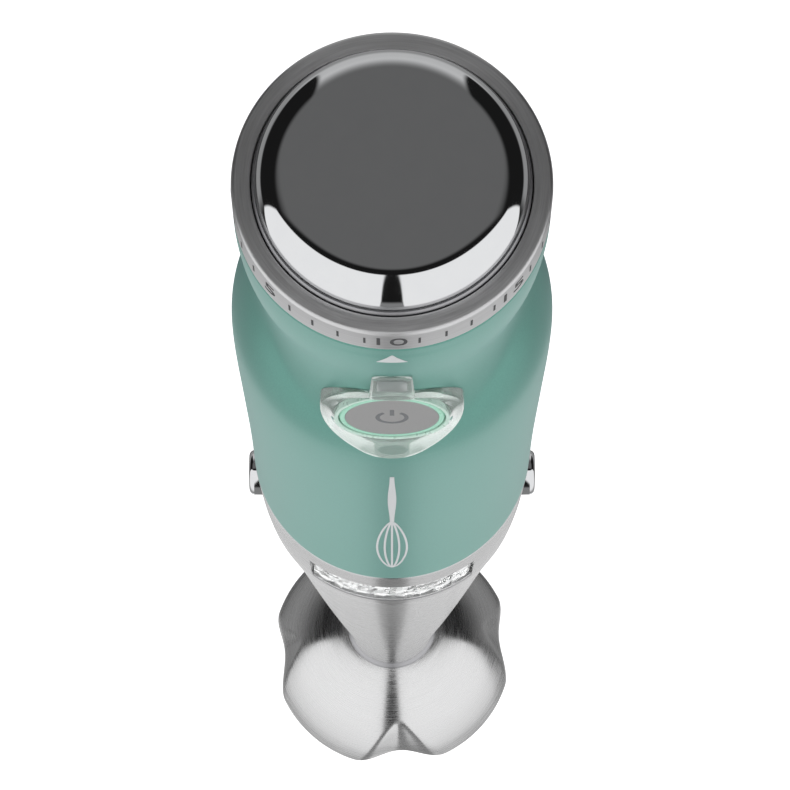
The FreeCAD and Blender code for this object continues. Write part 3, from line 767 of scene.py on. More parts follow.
    def stroke(self, shape: bmesh.types.BMesh, line: Sequence[Point],
               width: Callable[[float], float]) -> None:
        """Add one flat pen stroke of the ornament.

        Args:
            shape: bmesh that gets the stroke.
            line: its middle line as (x, z).
            width: full width at a share of the length.
        """
        rows = []
        for index, (x, z) in enumerate(line):
            before = Vector(line[max(index - 1, 0)])
            after = Vector(line[min(index + 1, len(line) - 1)])
            along = (after - before).normalized()
            side = Vector((-along.y, along.x)) * (0.5 * width(index / (len(line) - 1)))
            rows.append([shape.verts.new((x + side.x, 0.0, z + side.y)),
                         shape.verts.new((x - side.x, 0.0, z - side.y))])
        edges = [shape.edges.new(row) for row in rows]
        for lower, upper in zip(edges, edges[1:]):
            bmesh.ops.bridge_loops(shape, edges=[lower, upper])

    def ornament(self) -> None:
        """Make the silver print on the front: a plain balloon whisk drawn with thin strokes."""
        low, neck, end = self.whisk_ends
        steps = 40
        shape = bmesh.new()
        for reach in self.whisk_loops:
            loop = []
            for k in range(steps + 1):
                share = k / steps
                bulge = math.sin(math.pi * share) ** 0.6 * (1.0 - 0.35 * share)
                loop.append((reach * bulge, low + (neck - low) * share))
            for side in (1, -1) if reach else (1,):
                self.stroke(shape, [(side * x, z) for x, z in loop], lambda share: 0.5)
        self.stroke(shape, [(0.0, float(z)) for z in range(neck, end + 1)],
                    lambda share: 1.0 + 0.9 * math.sin(math.pi * share) ** 2)
        place(piece_from("whisk_print", self.wrapped(thicken(shape, 0.07))), Body.MOTOR, "pointer_paint")

    def collar_band(self) -> None:
        """Make the brushed steel collar with the light slot and the two button holes."""
        outline = walled(flowing(self.collar, 1.0), self.collar_wall, ((-0.25, 0.0), (0.0, 0.25)),
                         ((0.0, -0.25), (-0.25, 0.0)))
        piece = piece_from("collar", turned(outline))
        low, high = self.slot_height
        slot = front_arc([(28.0, low), (36.0, low), (36.0, high), (28.0, high)], self.slot_half_angle, 48)
        holes = rod(self.release_radius, 80.0, sideways(1), (0, 0, RELEASE_HEIGHT), 96)
        drill(piece, [piece_from("slot", slot), holes])
        place(piece, Body.MOTOR, "body_steel", stands_for=["steel_collar"])

    def build(self) -> None:
        """Make every piece of the grip."""
        self.shell()
        self.pointer()
        self.ornament()
        self.collar_band()


# ---- dial and cap ---------------------------------------------------------------------------------
@dataclass
class SpeedDial:
    """Brushed ring that turns on top of the grip, with its printed scale.

    Attributes:
        radius: outer radius.
        bore: radius of the opening around the cap.
        low: height of the lower edge.
        high: height of the top face.
        pitch: degrees from one mark to the next.
        zero: the number that faces the pointer at rest.
        last: the highest number.
        named: the marks that carry a number, where the others are bars.
        mark_height: middle height of the scale.
        number_size: font size of the numbers.
        number_width: how much wider than the font they are drawn.
        thinning: how far their strokes are thinned on each side.
        ink: half thickness of the ink.
    """

    radius: float = 32.0
    bore: float = 28.15
    low: float = 384.8
    high: float = 394.0
    pitch: float = 9.8
    zero: int = 10
    last: int = 20
    named: tuple[int, ...] = (1, 5, 10, 15, 20)
    mark_height: float = 389.5
    number_size: float = 6.2
    number_width: float = 1.3
    thinning: float = 0.03
    ink: float = 0.03

    def ring(self) -> None:
        """Make the turned ring with softened edges."""
        edge, lip = 0.8, 0.25
        profile = [(30.5, self.low), (self.radius - 0.2, self.low), (self.radius, self.low + 0.2)]
        profile += arc((self.radius - edge, self.high - edge), (edge, edge), 0, 90, 6)
        profile += arc((self.bore + lip, self.high - lip), (lip, lip), 90, 180, 4)
        profile += [(self.bore, 390.0), (30.5, 390.0)]
        place(piece_from("dial_ring", turned(profile), 40.0), Body.DIAL, "dial_steel",
              stands_for=["speed_dial_ring"])

    def bent(self, shape: bmesh.types.BMesh, heading: float) -> bmesh.types.BMesh:
        """Wrap a flat mark around the ring.

        Args:
            shape: flat mark, x across, z up from the scale's middle, y outward.
            heading: degrees from the front towards +X.

        Returns:
            The same bmesh.
        """
        for vert in shape.verts:
            reach = self.radius + 0.005 + vert.co.y
            angle = math.radians(heading) + vert.co.x / self.radius
            height = self.mark_height + vert.co.z
            vert.co = Vector((reach * math.sin(angle), -reach * math.cos(angle), height))
        return shape

    def number(self, value: int) -> bmesh.types.BMesh:
        """Flat shape of a number.

        Args:
            value: the number.

        Returns:
            The bmesh in millimetres, centred, with x across and z up.
        """
        curve = bpy.data.curves.new("number", "FONT")
        curve.body = str(value)
        curve.size = self.number_size
        curve.align_x = "CENTER"
        curve.align_y = "CENTER"
        curve.extrude = self.ink
        curve.offset = -self.thinning
        holder = bpy.data.objects.new("number", curve)
        bpy.context.scene.collection.objects.link(holder)
        graph = bpy.context.evaluated_depsgraph_get()
        mesh = bpy.data.meshes.new_from_object(holder.evaluated_get(graph))
        shape = bmesh.new()
        shape.from_mesh(mesh)
        bpy.data.objects.remove(holder)
        bpy.data.meshes.remove(mesh)
        middle = (min(v.co.x for v in shape.verts) + max(v.co.x for v in shape.verts)) / 2
        for vert in shape.verts:
            across = (vert.co.x - middle) * self.number_width
            vert.co = Vector((across, vert.co.z + self.ink, vert.co.y))
        return shape

    def scale(self) -> None:
        """Print the numbers and a short bar at every other mark."""
        bars = bmesh.new()
        for value in range(1, self.last + 1):
            heading = (value - self.zero) * self.pitch
            if value in self.named:
                piece = piece_from(f"number_{value}", self.bent(self.number(value), heading))
                place(piece, Body.DIAL, "dial_steel", DARK_INK)
            else:
                bar = marking_bar((0.48, 2 * self.ink, 3.1), 0.02)
                moved(bar, Matrix.Identity(3), (0, self.ink, 0))
                join(bars, self.bent(bar, heading))
        place(piece_from("scale_bars", bars), Body.DIAL, "dial_steel", DARK_INK)

    def build(self) -> None:
        """Make the ring and its scale."""
        self.ring()
        self.scale()


@dataclass
class TopCap:
    """Chrome dome in the middle of the dial and the grey lip that it sits in.

    Attributes:
        radius: radius at the foot.
        flat: radius where the top starts to bend down.
        full: radius that the shoulder would reach if it ran on to the upright.
        power: how square the shoulder's curve is.
        top: height of the flat.
        foot: height of the lower edge.
        bend: height where the shoulder starts.
    """

    radius: float = 27.25
    flat: float = 18.3
    full: float = 27.45
    power: float = 2.4
    top: float = 401.2
    foot: float = 391.2
    bend: float = 394.2

    def dome(self) -> None:
        """Make the polished dome: a flat top and an even round shoulder."""
        rise = self.top - self.bend
        reach = self.full - self.flat
        last = (self.radius - self.flat) / reach
        steps, rings = 40, 10
        profile = [(self.radius, self.foot)]
        for k in range(steps + 1):
            share = last * math.sin(math.radians(90 * (1 - k / steps)))
            height = self.bend + rise * (1 - share ** self.power) ** (1 / self.power)
            profile.append((self.flat + reach * share, height))
        profile += [(self.flat * (1 - k / rings), self.top) for k in range(1, rings)] + [(0.0, self.top)]
        inside = self.radius - 1.5
        profile += [(0.0, self.top - 1.6), (self.flat, self.top - 1.5), (inside, self.bend),
                    (inside, self.foot)]
        piece = piece_from("cap_dome", turned(profile), 40.0)
        place(piece, Body.MOTOR, "cap_chrome", stands_for=["top_cap"])

    def stem(self) -> None:
        """Make the post under the dome that the dial turns around."""
        profile = [(1.55, 379.5), (4.3, 379.5), (4.5, 379.8), (4.5, 399.4), (1.55, 399.4)]
        place(piece_from("cap_stem", turned(profile, steps=64)), Body.MOTOR, "cap_chrome", SATIN_NICKEL)

    def lip(self) -> None:
        """Make the satin ring around the dome's foot."""
        profile = [(25.0, 390.3), (27.75, 390.3), (27.9, 390.5), (27.9, 393.8), (27.8, 394.0), (27.45, 394.4),
                   (27.3, 394.35), (27.3, 391.2), (25.0, 391.2)]
        place(piece_from("cap_lip_ring", turned(profile)), Body.MOTOR, "lip_steel", stands_for=["cap_lip"])

    def build(self) -> None:
        """Make the dome, its stem and its lip."""
        self.dome()
        self.stem()
        self.lip()


# ---- thumb button ---------------------------------------------------------------------------------
@dataclass
class ThumbButton:
    """Clear bezel in the waist of the grip, its lens, and the round button that is pressed.

    Attributes:
        housing: the shell that the bezel sits on.
        radius: radius of the milky button.
        bore: radius of the opening in the bezel.
        front: the bezel's front surface as (height, radius).
        side: right half of the bezel's outline as (x, height), from its lowest point up.
        rolled: steps of the bezel's edge as (distance inwards, share of the thickness).
        seat: how far the bezel's back stands off the lacquer.
        least: how far its front does so at least.
        tab_tilt: degrees that the tab leans forward.
    """

    housing: GripHousing
    radius: float = 11.0
    bore: float = 11.4
    front: tuple[Point, ...] = ((312.0, 34.9), (330.0, 34.0), (341.0, 33.3), (352.0, 32.5), (367.0, 31.9))
    side: tuple[Point, ...] = (
        (0.0, 316.9), (3.6, 317.6), (7.0, 320.0), (11.3, 324.6), (13.8, 329.0), (15.0, 334.0), (15.15, 338.0),
        (14.75, 341.6), (12.8, 345.8), (10.5, 348.9), (8.0, 351.2), (4.5, 352.7), (0.0, 353.2))
    rolled: tuple[Point, ...] = ((0.0, 0.0), (0.0, 0.66), (0.22, 0.88), (0.7, 0.98), (1.4, 1.0))
    seat: float = 0.08
    least: float = 0.35
    tab_tilt: float = 3.2

    def outline(self) -> list[Point]:
        """Spread points evenly around the bezel's outline.

        Returns:
            The closed outline as (x, height).
        """
        half = list(self.side)
        closed = half + [(-x, z) for x, z in reversed(half[1:-1])]
        lengths = [0.0]
        for a, b in zip(closed, closed[1:] + closed[:1]):
            lengths.append(lengths[-1] + math.dist(a, b))
        rounds = closed[-2:] + closed + closed[:3]
        marks = [lengths[0] - (lengths[-1] - lengths[-3]), lengths[0] - (lengths[-1] - lengths[-2])]
        marks += lengths[:-1] + [lengths[-1] + value for value in lengths[:3]]
        across, upward = (numpy.array(flowing([(at, point[k]) for at, point in zip(marks, rounds)], 0.35)).T
                          for k in (0, 1))
        count = 144
        places = [lengths[-1] * k / count for k in range(count)]
        return [(float(numpy.interp(at, *across)), float(numpy.interp(at, *upward))) for at in places]

    def bezel(self) -> None:
        """Make the clear shield: upright flanks, a rolled edge and a shallow slope down to the button."""
        line = numpy.array(flowing(self.front, 0.5)).T
        skin = self.housing.face
        middle = Vector(BUTTON_FACE)
        sections: list[list[Vector]] = []
        for x, z in self.outline():
            way = Vector((x, z - middle.z))
            inward = -way.normalized()
            section = []
            for draw, share in self.rolled:
                px = x + inward.x * draw
                pz = z + inward.y * draw
                crown = -math.sqrt(float(numpy.interp(pz, *line)) ** 2 - px ** 2)
                top = min(crown, skin(px, pz) - self.least)
                low = skin(px, pz) - self.seat
                section.append(Vector((px, low + (top - low) * share, pz)))
            heading = math.atan2(way.y, way.x)
            ring = Vector((math.cos(heading), math.sin(heading), 0.0))
            rim = middle + BUTTON_TURN @ (ring * (self.bore + 0.5) + Vector((0, 0, 0.05)))
            lip = middle + BUTTON_TURN @ (ring * self.bore + Vector((0, 0, -0.15)))
            dished = (section[-1] + rim) / 2 + Vector((0, 0.3, 0))
            sections.append(section + [dished, rim, lip, Vector((lip.x, lip.y + 0.6, lip.z))])
        piece = piece_from("bezel", lofted(list(zip(*sections)), closed=True), 50.0)
        place(piece, Body.MOTOR, "clear_plastic", stands_for=["button_bezel"])

    def guide(self) -> None:
        """Make the frosted ring between the button and the clear bezel."""
        profile = [(11.2, -1.2), (11.2, 0.0), (11.3, 0.12), (11.7, 0.2), (12.0, 0.14), (12.05, -1.2)]
        piece = piece_from("light_guide_ring", moved(turned(profile, steps=128), BUTTON_TURN, BUTTON_FACE))
        place(piece, Body.MOTOR, "clear_plastic", FROSTED_ACRYLIC)

    def slab(self, size: Triple, corner: float, edge: float) -> bmesh.types.BMesh:
        """Upright plate with round corners and softened edges.

        Args:
            size: width, thickness and height.
            corner: radius of the four corners.
            edge: radius along the rims.

        Returns:
            The plate, centred.
        """
        shape = block(size)
        soften(shape, [e for e in shape.edges if abs(e.verts[0].co.y - e.verts[1].co.y) > 0.1], corner, 6)
        soften(shape, [e for e in shape.edges if abs(e.verts[0].co.y - e.verts[1].co.y) < 1e-6], edge, 3)
        return shape

    def tab(self) -> None:
        """Make the clear tab over the bezel, which widens downwards, and the smoked lens set into it."""
        turn = Matrix.Rotation(math.radians(-self.tab_tilt), 3, "X")
        shape = self.slab((8.4, 0.9, 13.2), 1.5, 0.3)
        for vert in shape.verts:
            vert.co.x *= 1.0 + 0.4 * max(0.0, -vert.co.z / 6.6 - 0.45)
        tab = piece_from("bezel_tab", moved(shape, turn, (0, -31.6, 358.4)), 50.0)
        place(tab, Body.MOTOR, "clear_plastic")
        shape = moved(self.slab((6.3, 0.6, 6.0), 1.2, 0.12), turn, (0, -31.86, 360.2))
        lens = piece_from("lens", shape, 50.0)
        place(lens, Body.MOTOR, "smoke_lens", stands_for=["indicator_lens"])

    def cap(self) -> None:
        """Make the milky button with a rounded rim and a seat for its metal face."""
        profile = [(0.0, -0.95), (9.8, -0.95), (9.8, -0.15)]
        profile += arc((10.0, -0.2), (0.2, 0.2), 180, 90, 3)
        profile += arc((self.radius - 0.6, -0.6), (0.6, 0.6), 90, 0, 6)
        profile += [(self.radius, -10.4), (12.4, -10.4), (12.4, -11.6), (3.0, -11.6), (3.0, -15.2),
                    (0.0, -15.2)]
        shape = moved(turned(profile, closed=False, steps=128), BUTTON_TURN, BUTTON_FACE)
        piece = piece_from("button_cap", shape, 40.0)
        place(piece, Body.BUTTON, "mint_plastic", stands_for=["on_button_cap"])

    def sign(self) -> None:
        """Make the generic power sign, a broken circle and a bar, filled with darker grey."""
        foot, face = -0.14, -0.085
        profile = [(2.55, foot), (3.45, foot), (3.45, face), (2.55, face)]
        shape = turned(profile, steps=48, start=125, sweep=290)
        join(shape, moved(marking_bar((0.9, 3.2, 0.055), 0.01), Matrix.Identity(3), (0, 2.7, -0.1125)))
        piece = piece_from("power_sign", moved(shape, BUTTON_TURN, BUTTON_FACE))
        place(piece, Body.BUTTON, "button_metal", GREY_NYLON)

    def build(self) -> None:
        """Make the bezel, its ring, tab and lens, and the button."""
        self.bezel()
        self.guide()
        self.tab()
        self.cap()
        self.sign()


# ---- light bar and releases -----------------------------------------------------------------------
@dataclass
class LightBar:
    """Cut clear bar in the collar's slot and the sill under it.

    Attributes:
        half_angle: half of the bar's angle.
        back: radius of its back.
        low: height of its lower edge.
        high: height of its upper edge.
        rim: outline of both rims as (radius, distance from the edge).
        middle: radius of the face between the rims.
        push: least and greatest distance that a facet's corner is pushed out.
        swing: degrees that it is swung by at most.
        slip: height that it slips by at most.
        seed: seed of the facets.
    """

    half_angle: float = 36.8
    back: float = 29.9
    low: float = 182.7
    high: float = 197.5
    rim: tuple[Point, ...] = ((31.2, 0.0), (31.85, 0.5), (31.95, 1.4))
    middle: float = 31.75
    push: Point = (-0.5, 0.05)
    swing: float = 0.8
    slip: float = 0.7
    seed: int = 11

    def bar(self) -> None:
        """Make the bar, whose face between smooth rims is broken into crystal-like facets."""
        outline = [(self.back, self.low)] + [(radius, self.low + off) for radius, off in self.rim]
        outline += [(self.middle, self.low + 2.4 + 2.1 * k) for k in range(6)]
        outline += [(radius, self.high - off) for radius, off in reversed(self.rim)]
        outline.append((self.back, self.high))
        shape = front_arc(outline, self.half_angle, 34)
        bmesh.ops.triangulate(shape, faces=shape.faces[:], quad_method="ALTERNATE")
        chance = random.Random(self.seed)
        for vert in shape.verts:
            reach = math.hypot(vert.co.x, vert.co.y)
            if reach < self.back + 0.6 or not self.low + 2.0 < vert.co.z < self.high - 1.6:
                continue
            push = 1.0 + chance.uniform(*self.push) / reach
            turn = Matrix.Rotation(math.radians(chance.uniform(-self.swing, self.swing)), 3, "Z")
            height = vert.co.z + chance.uniform(-self.slip, self.slip)
            vert.co = turn @ Vector((vert.co.x * push, vert.co.y * push, height))
        piece = piece_from("light_bar_cut", shape, 14.0)
        place(piece, Body.MOTOR, "clear_plastic", CUT_ACRYLIC, ["light_bar"])

    def sill(self) -> None:
        """Make the grey lip under the bar."""
        profile = [(29.6, 181.0), (31.5, 181.0), (31.6, 181.2), (31.6, 182.2), (31.3, 182.6), (29.6, 182.6)]
        piece = piece_from("light_sill", front_arc(profile, 37.4, 72))
        place(piece, Body.MOTOR, "grey_plastic", SATIN_NICKEL, ["light_seat"])

    def reflector(self) -> None:
        """Make the white tray behind the bar, which carries a faint painted glow."""
        profile = [(29.45, 182.8), (29.75, 182.8), (29.75, 197.4), (29.45, 197.4)]
        piece = piece_from("light_tray", front_arc(profile, 36.6, 72))
        # The tray's finish emits a faint painted glow that lifts the shade in the slot behind the bar.
        place(piece, Body.MOTOR, "board", PAINTED_GLOW_REFLECTOR)

    def build(self) -> None:
        """Make the bar, its sill and its reflector."""
        self.bar()
        self.sill()
        self.reflector()


@dataclass
class ReleaseButtons:
    """The two chrome buttons on the collar's sides.

    Attributes:
        radius: their radius.
        face: distance of their outer face from the axis of the grip.
        foot: distance of their inner end from it.
        edge: radius of their rounded rim.
    """

    radius: float = 5.5
    face: float = 34.9
    foot: float = 29.4
    edge: float = 1.3

    def build(self) -> None:
        """Make both buttons, turned with a rounded rim."""
        depth = self.face - self.foot
        profile = [(0.0, 0.0), (self.radius, 0.0)]
        profile += arc((self.radius - self.edge, depth - self.edge), (self.edge, self.edge), 0, 90, 9)
        profile += [(2.0, depth), (0.0, depth)]
        for name, side, body in (("right", 1, Body.RIGHT), ("left", -1, Body.LEFT)):
            shape = turned(profile, closed=False, steps=96)
            moved(shape, sideways(side), (side * self.foot, 0, RELEASE_HEIGHT))
            piece = piece_from(f"release_{name}_cap", shape, 40.0)
            place(piece, body, "cap_chrome", stands_for=[f"release_button_{name}"])


@dataclass
class ReturnSprings:
    """Coil springs that push the thumb button and the two releases back out.

    Attributes:
        seat: place of the thumb button's spring along its axis, from the button's face.
        release_seat: distance of the releases' springs' inner ends from the grip's axis.
        length: free length of every spring.
        button_travel: stroke of the thumb button; not used.
        release_travel: stroke of the releases; not used.
        spare: how much further than its stroke a spring shortens; not used.
    """

    seat: float = -17.4
    release_seat: float = 14.75
    length: float = 5.6
    button_travel: float = 2.0
    release_travel: float = 2.5
    spare: float = 0.15

    def coil(self, radius: float, wire: float, turns: int) -> bmesh.types.BMesh:
        """Open coil that stands on z = 0.

        Args:
            radius: radius of the coil's middle line.
            wire: radius of the wire.
            turns: number of turns.

        Returns:
            The coil.
        """
        shape = bmesh.new()
        steps = turns * 32
        bmesh.ops.create_circle(shape, cap_ends=False, segments=12, radius=wire)
        moved(shape, Matrix.Rotation(math.radians(90), 3, "X"), (radius, 0, wire))
        bmesh.ops.spin(shape, geom=shape.verts[:] + shape.edges[:], cent=(0, 0, 0), axis=(0, 0, 1),
                       dvec=(0, 0, (self.length - 2 * wire) / steps), angle=2 * math.pi * turns, steps=steps,
                       use_merge=False, use_duplicate=False)
        bmesh.ops.holes_fill(shape, edges=[e for e in shape.edges if e.is_boundary], sides=0)
        return shape

    def spring(self, name: str, node: str, shape: bmesh.types.BMesh, turn: Matrix, foot: Vector) -> None:
        """Set one coil on its seat.

        Args:
            name: the joint's name without its last word.
            node: the node that the coil replaces.
            shape: the coil.
            turn: rotation that turns +Z to the direction that the spring pushes.
            foot: place of the seat in millimetres.
        """
        piece = piece_from(f"{name}_coil", moved(shape, turn, foot), 50.0)
        place(piece, Body.MOTOR, "spring_steel", stands_for=[node])
        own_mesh(piece)

    def build(self) -> None:
        """Make the button's spring and the two releases' springs."""
        foot = Vector(BUTTON_FACE) + BUTTON_TURN @ Vector((0, 0, self.seat))
        self.spring("on_button", "button_spring", self.coil(5.0, 0.45, 3), BUTTON_TURN, foot)
        for name, side in (("right", 1), ("left", -1)):
            foot = Vector((side * self.release_seat, 0.0, RELEASE_HEIGHT))
            self.spring(f"release_{name}", f"release_spring_{name}", self.coil(1.7, 0.3, 4),
                        sideways(side), foot)


# ---- blending shaft -------------------------------------------------------------------------------
@dataclass
class BlendingShaft:
    """Tapered tube, the step ring at its foot and the four-lobed bell.

    Attributes:
        profile: the tube's outline as (height, radius).
        wall: wall of the tube.
        bell: outline of the bell as (height, radius), from the rim up.
        notch_turn: degrees that the notches are turned from the axes.
        notch_top: height where the notches begin.
        notch_spread: half width of a notch at the rim, in degrees.
        notch_depth: how deep the rim is pressed in.
        notch_rise: how far the rim is raised there.
        bell_wall: sheet thickness.
        bell_bore: radius of the opening in the bell's top.
    """

    profile: tuple[Point, ...] = ((30.0, 11.45), (36.0, 11.95), (60.0, 15.2), (90.0, 19.5), (120.0, 23.5),
                                  (150.0, 27.4), (176.0, 31.2))
    wall: float = 1.0
    bell: tuple[Point, ...] = ((0.0, 34.0), (4.5, 32.9), (10.5, 30.4), (17.5, 26.2), (23.0, 21.2),
                               (26.4, 16.3), (28.0, 12.5))
    notch_turn: float = 4.0
    notch_top: float = 18.0
    notch_spread: float = 22.5
    notch_depth: float = 3.4
    notch_rise: float = 4.6
    bell_wall: float = 0.9
    bell_bore: float = 6.2

    def tube(self) -> None:
        """Make the brushed tapered tube with its upper end rolled."""
        shape = turned(walled(flowing(self.profile, 2.0), self.wall, head=((-0.04, -0.3), (-0.3, 0.0))))
        place(piece_from("shaft_cone", shape), Body.SHAFT, "body_steel", stands_for=["shaft_tube"])

    def step_ring(self) -> None:
        """Make the satin step between tube and bell."""
        profile = [(6.4, 28.0), (12.3, 28.0), (12.35, 28.3), (12.2, 28.9), (11.6, 29.6), (10.9, 30.0),
                   (6.4, 30.0)]
        piece = piece_from("step_ring", turned(profile, steps=128))
        place(piece, Body.SHAFT, "lip_steel", stands_for=["foot_ring"])

    def bell_loop(self, height: float, radius: float, level: float) -> list[Vector]:
        """One level line of the bell.

        Args:
            height: height away from the notches.
            radius: radius away from the notches.
            level: height that sets how strong the notches are here.

        Returns:
            Points around the bell.
        """
        count = 288
        share = max(self.notch_top - level, 0.0) / self.notch_top
        width = self.notch_spread * share ** 0.55 + 1e-6
        points = []
        # Four notches a quarter turn apart: the sheet is pressed in and its rim rises in a bow.
        for k in range(count):
            angle = 360.0 * k / count
            off = (angle - self.notch_turn + 45.0) % 90.0 - 45.0
            dent = max(1.0 - (off / width) ** 2, 0.0) ** 2
            bow = math.exp(-abs(off / 13.5) ** 2.2)
            reach = radius - share ** 0.9 * self.notch_depth * dent
            lift = share ** 2.6 * self.notch_rise * bow
            turn = math.radians(angle)
            points.append(Vector((reach * math.cos(turn), reach * math.sin(turn), height + lift)))
        return points

    def guard(self) -> None:
        """Make the pressed bell with an even wall."""
        line = flowing(self.bell, 0.9)
        outer = [self.bell_loop(height, radius, height) for height, radius in reversed(line)]
        inner = []
        for index, (height, radius) in enumerate(line):
            before = line[max(index - 1, 0)]
            after = line[min(index + 1, len(line) - 1)]
            along = Vector((after[0] - before[0], after[1] - before[1])).normalized()
            inset = Vector((along.y, -along.x)) * self.bell_wall
            low = height + inset.x if index else 0.0
            inner.append(self.bell_loop(low, radius + inset.y, height))
        high = self.bell[-1][0]
        top = self.bell_loop(high, self.bell_bore, high)
        under = self.bell_loop(high - self.bell_wall, self.bell_bore, high)
        piece = piece_from("bell_guard", lofted([top] + outer + inner + [under], closed=True), 50.0)
        place(piece, Body.SHAFT, "body_steel", SPUN_STAINLESS, ["bell"])

    def build(self) -> None:
        """Make the tube, the step ring and the bell."""
        self.tube()
        self.step_ring()
        self.guard()


# ---- carried-over nodes ---------------------------------------------------------------------------
@dataclass
class InnerWorks:
    """Motor, boards, springs, couplings and blade, whose shapes come straight from the frame.

    Attributes:
        own: nodes whose finish is not their slot's.
        weld: distance in metres within which facets share their corners.
        crease: edges that turn by more degrees than this stay crisp.
    """

    own: tuple[tuple[str, Finish], ...] = (("light_board", LAMP_BOARD),)
    weld: float = 1e-6
    crease: float = 30.0

    def build(self) -> None:
        """Give every node that still shows its finish and soft shading across its facets."""
        slots = {entry["node"]: entry["material_slot"] for entry in frame["record"]["subparts"]}
        for name, node in frame["nodes"].items():
            finish = dict(self.own).get(name, SLOT_FINISHES[slots[name]])
            node.data.materials.clear()
            node.data.materials.append(finish.material())
            weld = node.modifiers.new("weld", "WELD")
            weld.merge_threshold = self.weld
            crisp = node.modifiers.new("crisp", "EDGE_SPLIT")
            crisp.split_angle = math.radians(self.crease)
            LOG.info("node %s dressed in %s", name, finish.name)


# ---- studio ---------------------------------------------------------------------------------------
@dataclass
class Studio:
    """Pale floor, soft light from two front sides, and the camera.

    Attributes:
        camera_place: camera position in metres.
        pitch: degrees that the camera looks down.
        lens: focal length on a 36 mm sensor.
        shift: sideways shift of the frame.
        gap: half width of the dark gap between the two soft lights, as a share of the forward reach.
        panel_power: strength of the two soft lights.
        ceiling_power: strength of the grey above.
        rear_power: strength of the low light behind.
        lower_power: strengths of the light below the object, from behind, from between and from under it.
        ambient: light that comes from everywhere.
        floor: height of the floor in millimetres, low enough for the shaft to be drawn off above it.
        floor_reach: radius of the floor in millimetres.
    """

    camera_place: tuple[float, float, float] = (0.0, -0.2879, 1.1937)
    pitch: float = 73.05
    lens: float = 195.36
    shift: float = 0.0038
    gap: float = 0.09
    panel_power: float = 1.1
    ceiling_power: float = 0.145
    rear_power: float = 0.62
    lower_power: tuple[float, float, float, float] = (0.24, 0.33, 0.26, 0.5)
    ambient: float = 0.012
    floor: float = -66.0
    floor_reach: float = 6000.0

    def camera(self) -> None:
        """Place the camera."""
        data = bpy.data.cameras.new("camera")
        data.lens = self.lens
        data.sensor_width = 36.0
        data.shift_x = self.shift
        data.clip_end = 40.0
        holder = bpy.data.objects.new("camera", data)
        holder.location = self.camera_place
        holder.rotation_euler = (math.radians(90 - self.pitch), 0.0, 0.0)
        bpy.context.scene.collection.objects.link(holder)
        bpy.context.scene.camera = holder

    def paper(self, name: str, colour: str) -> bpy.types.Material:
        """Matt stage paper that also gives light of its own.

        Args:
            name: material name.
            colour: colour that it bounces.

        Returns:
            The material.
        """
        made = bpy.data.materials.new(name)
        made.use_nodes = True
        tree = made.node_tree
        tree.nodes.clear()
        shader = add_node(tree, "ShaderNodeBsdfPrincipled", {
            "Base Color": linear(colour), "Roughness": 0.9, "Emission Color": linear("ffffff"),
            "Emission Strength": 1.0})
        add_node(tree, "ShaderNodeOutputMaterial", links={"Surface": shader.outputs[0]})
        return made

    def stage(self) -> None:
        """Set the pale floor, and a pale surround that only the eye sees behind low views."""
        floor = bmesh.new()
        bmesh.ops.create_circle(floor, cap_ends=True, segments=96, radius=self.floor_reach)
        bmesh.ops.translate(floor, vec=(0, 0, self.floor), verts=floor.verts[:])
        ground = piece_from("floor", floor)
        ground.data.materials.append(self.paper("floor_paper", "d0d0d0"))
        ground.visible_glossy = False
        around = bmesh.new()
        bmesh.ops.create_uvsphere(around, u_segments=48, v_segments=24, radius=self.floor_reach - 100.0)
        surround = piece_from("surround", around)
        surround.data.materials.append(self.paper("surround_paper", "ffffff"))
        surround.visible_diffuse = False
        surround.visible_glossy = False
        surround.visible_transmission = False
        surround.visible_shadow = False

    def light(self) -> None:
        """Draw the soft light on the world: two tall front panels, dark sides, grey above and behind."""
        world = bpy.data.worlds.new("studio")
        bpy.context.scene.world = world
        world.use_nodes = True
        tree = world.node_tree
        tree.nodes.clear()
        way = add_node(tree, "ShaderNodeTexCoord").outputs["Generated"]
        parts = add_node(tree, "ShaderNodeSeparateXYZ", links={0: way})
        east, north, up = (parts.outputs[k] for k in ("X", "Y", "Z"))

        def step(value: Socket, low: float, high: float) -> Socket:
            """Smooth step from 0 to 1.

            Args:
                value: the socket that is read.
                low: where the step starts from 0.
                high: where it reaches 1; below low, the step falls instead.

            Returns:
                The step's socket.
            """
            settings = {"interpolation_type": "SMOOTHSTEP", "From Min": min(low, high),
                        "From Max": max(low, high)}
            if low > high:
                settings.update({"To Min": 1.0, "To Max": 0.0})
            return add_node(tree, "ShaderNodeMapRange", settings, {"Value": value}).outputs[0]

        def maths(kind: str, *terms: object) -> Socket:
            """One arithmetic step.

            Args:
                kind: name of the operation.
                terms: its sockets or numbers.

            Returns:
                The result's socket.
            """
            fixed = {k: term for k, term in enumerate(terms) if not isinstance(term, Socket)}
            wired = {k: term for k, term in enumerate(terms) if isinstance(term, Socket)}
            return add_node(tree, "ShaderNodeMath", {"operation": kind, **fixed}, wired).outputs[0]

        def product(first: Socket, *others: Socket) -> Socket:
            """Product of several sockets.

            Args:
                first: the first factor.
                others: the other factors.

            Returns:
                The product's socket.
            """
            for other in others:
                first = maths("MULTIPLY", first, other)
            return first

        aside = maths("ABSOLUTE", east)
        ahead = maths("MULTIPLY", north, -1.0)
        down = maths("MULTIPLY", up, -1.0)
        # Dark seam between the two panels, a little wider further down.
        seam = maths("MULTIPLY_ADD", ahead, self.gap, 0.016)
        sunk = maths("MULTIPLY", maths("MAXIMUM", down, 0.0), 0.018)
        split = step(maths("SUBTRACT", maths("SUBTRACT", aside, seam), sunk), -0.006, 0.010)
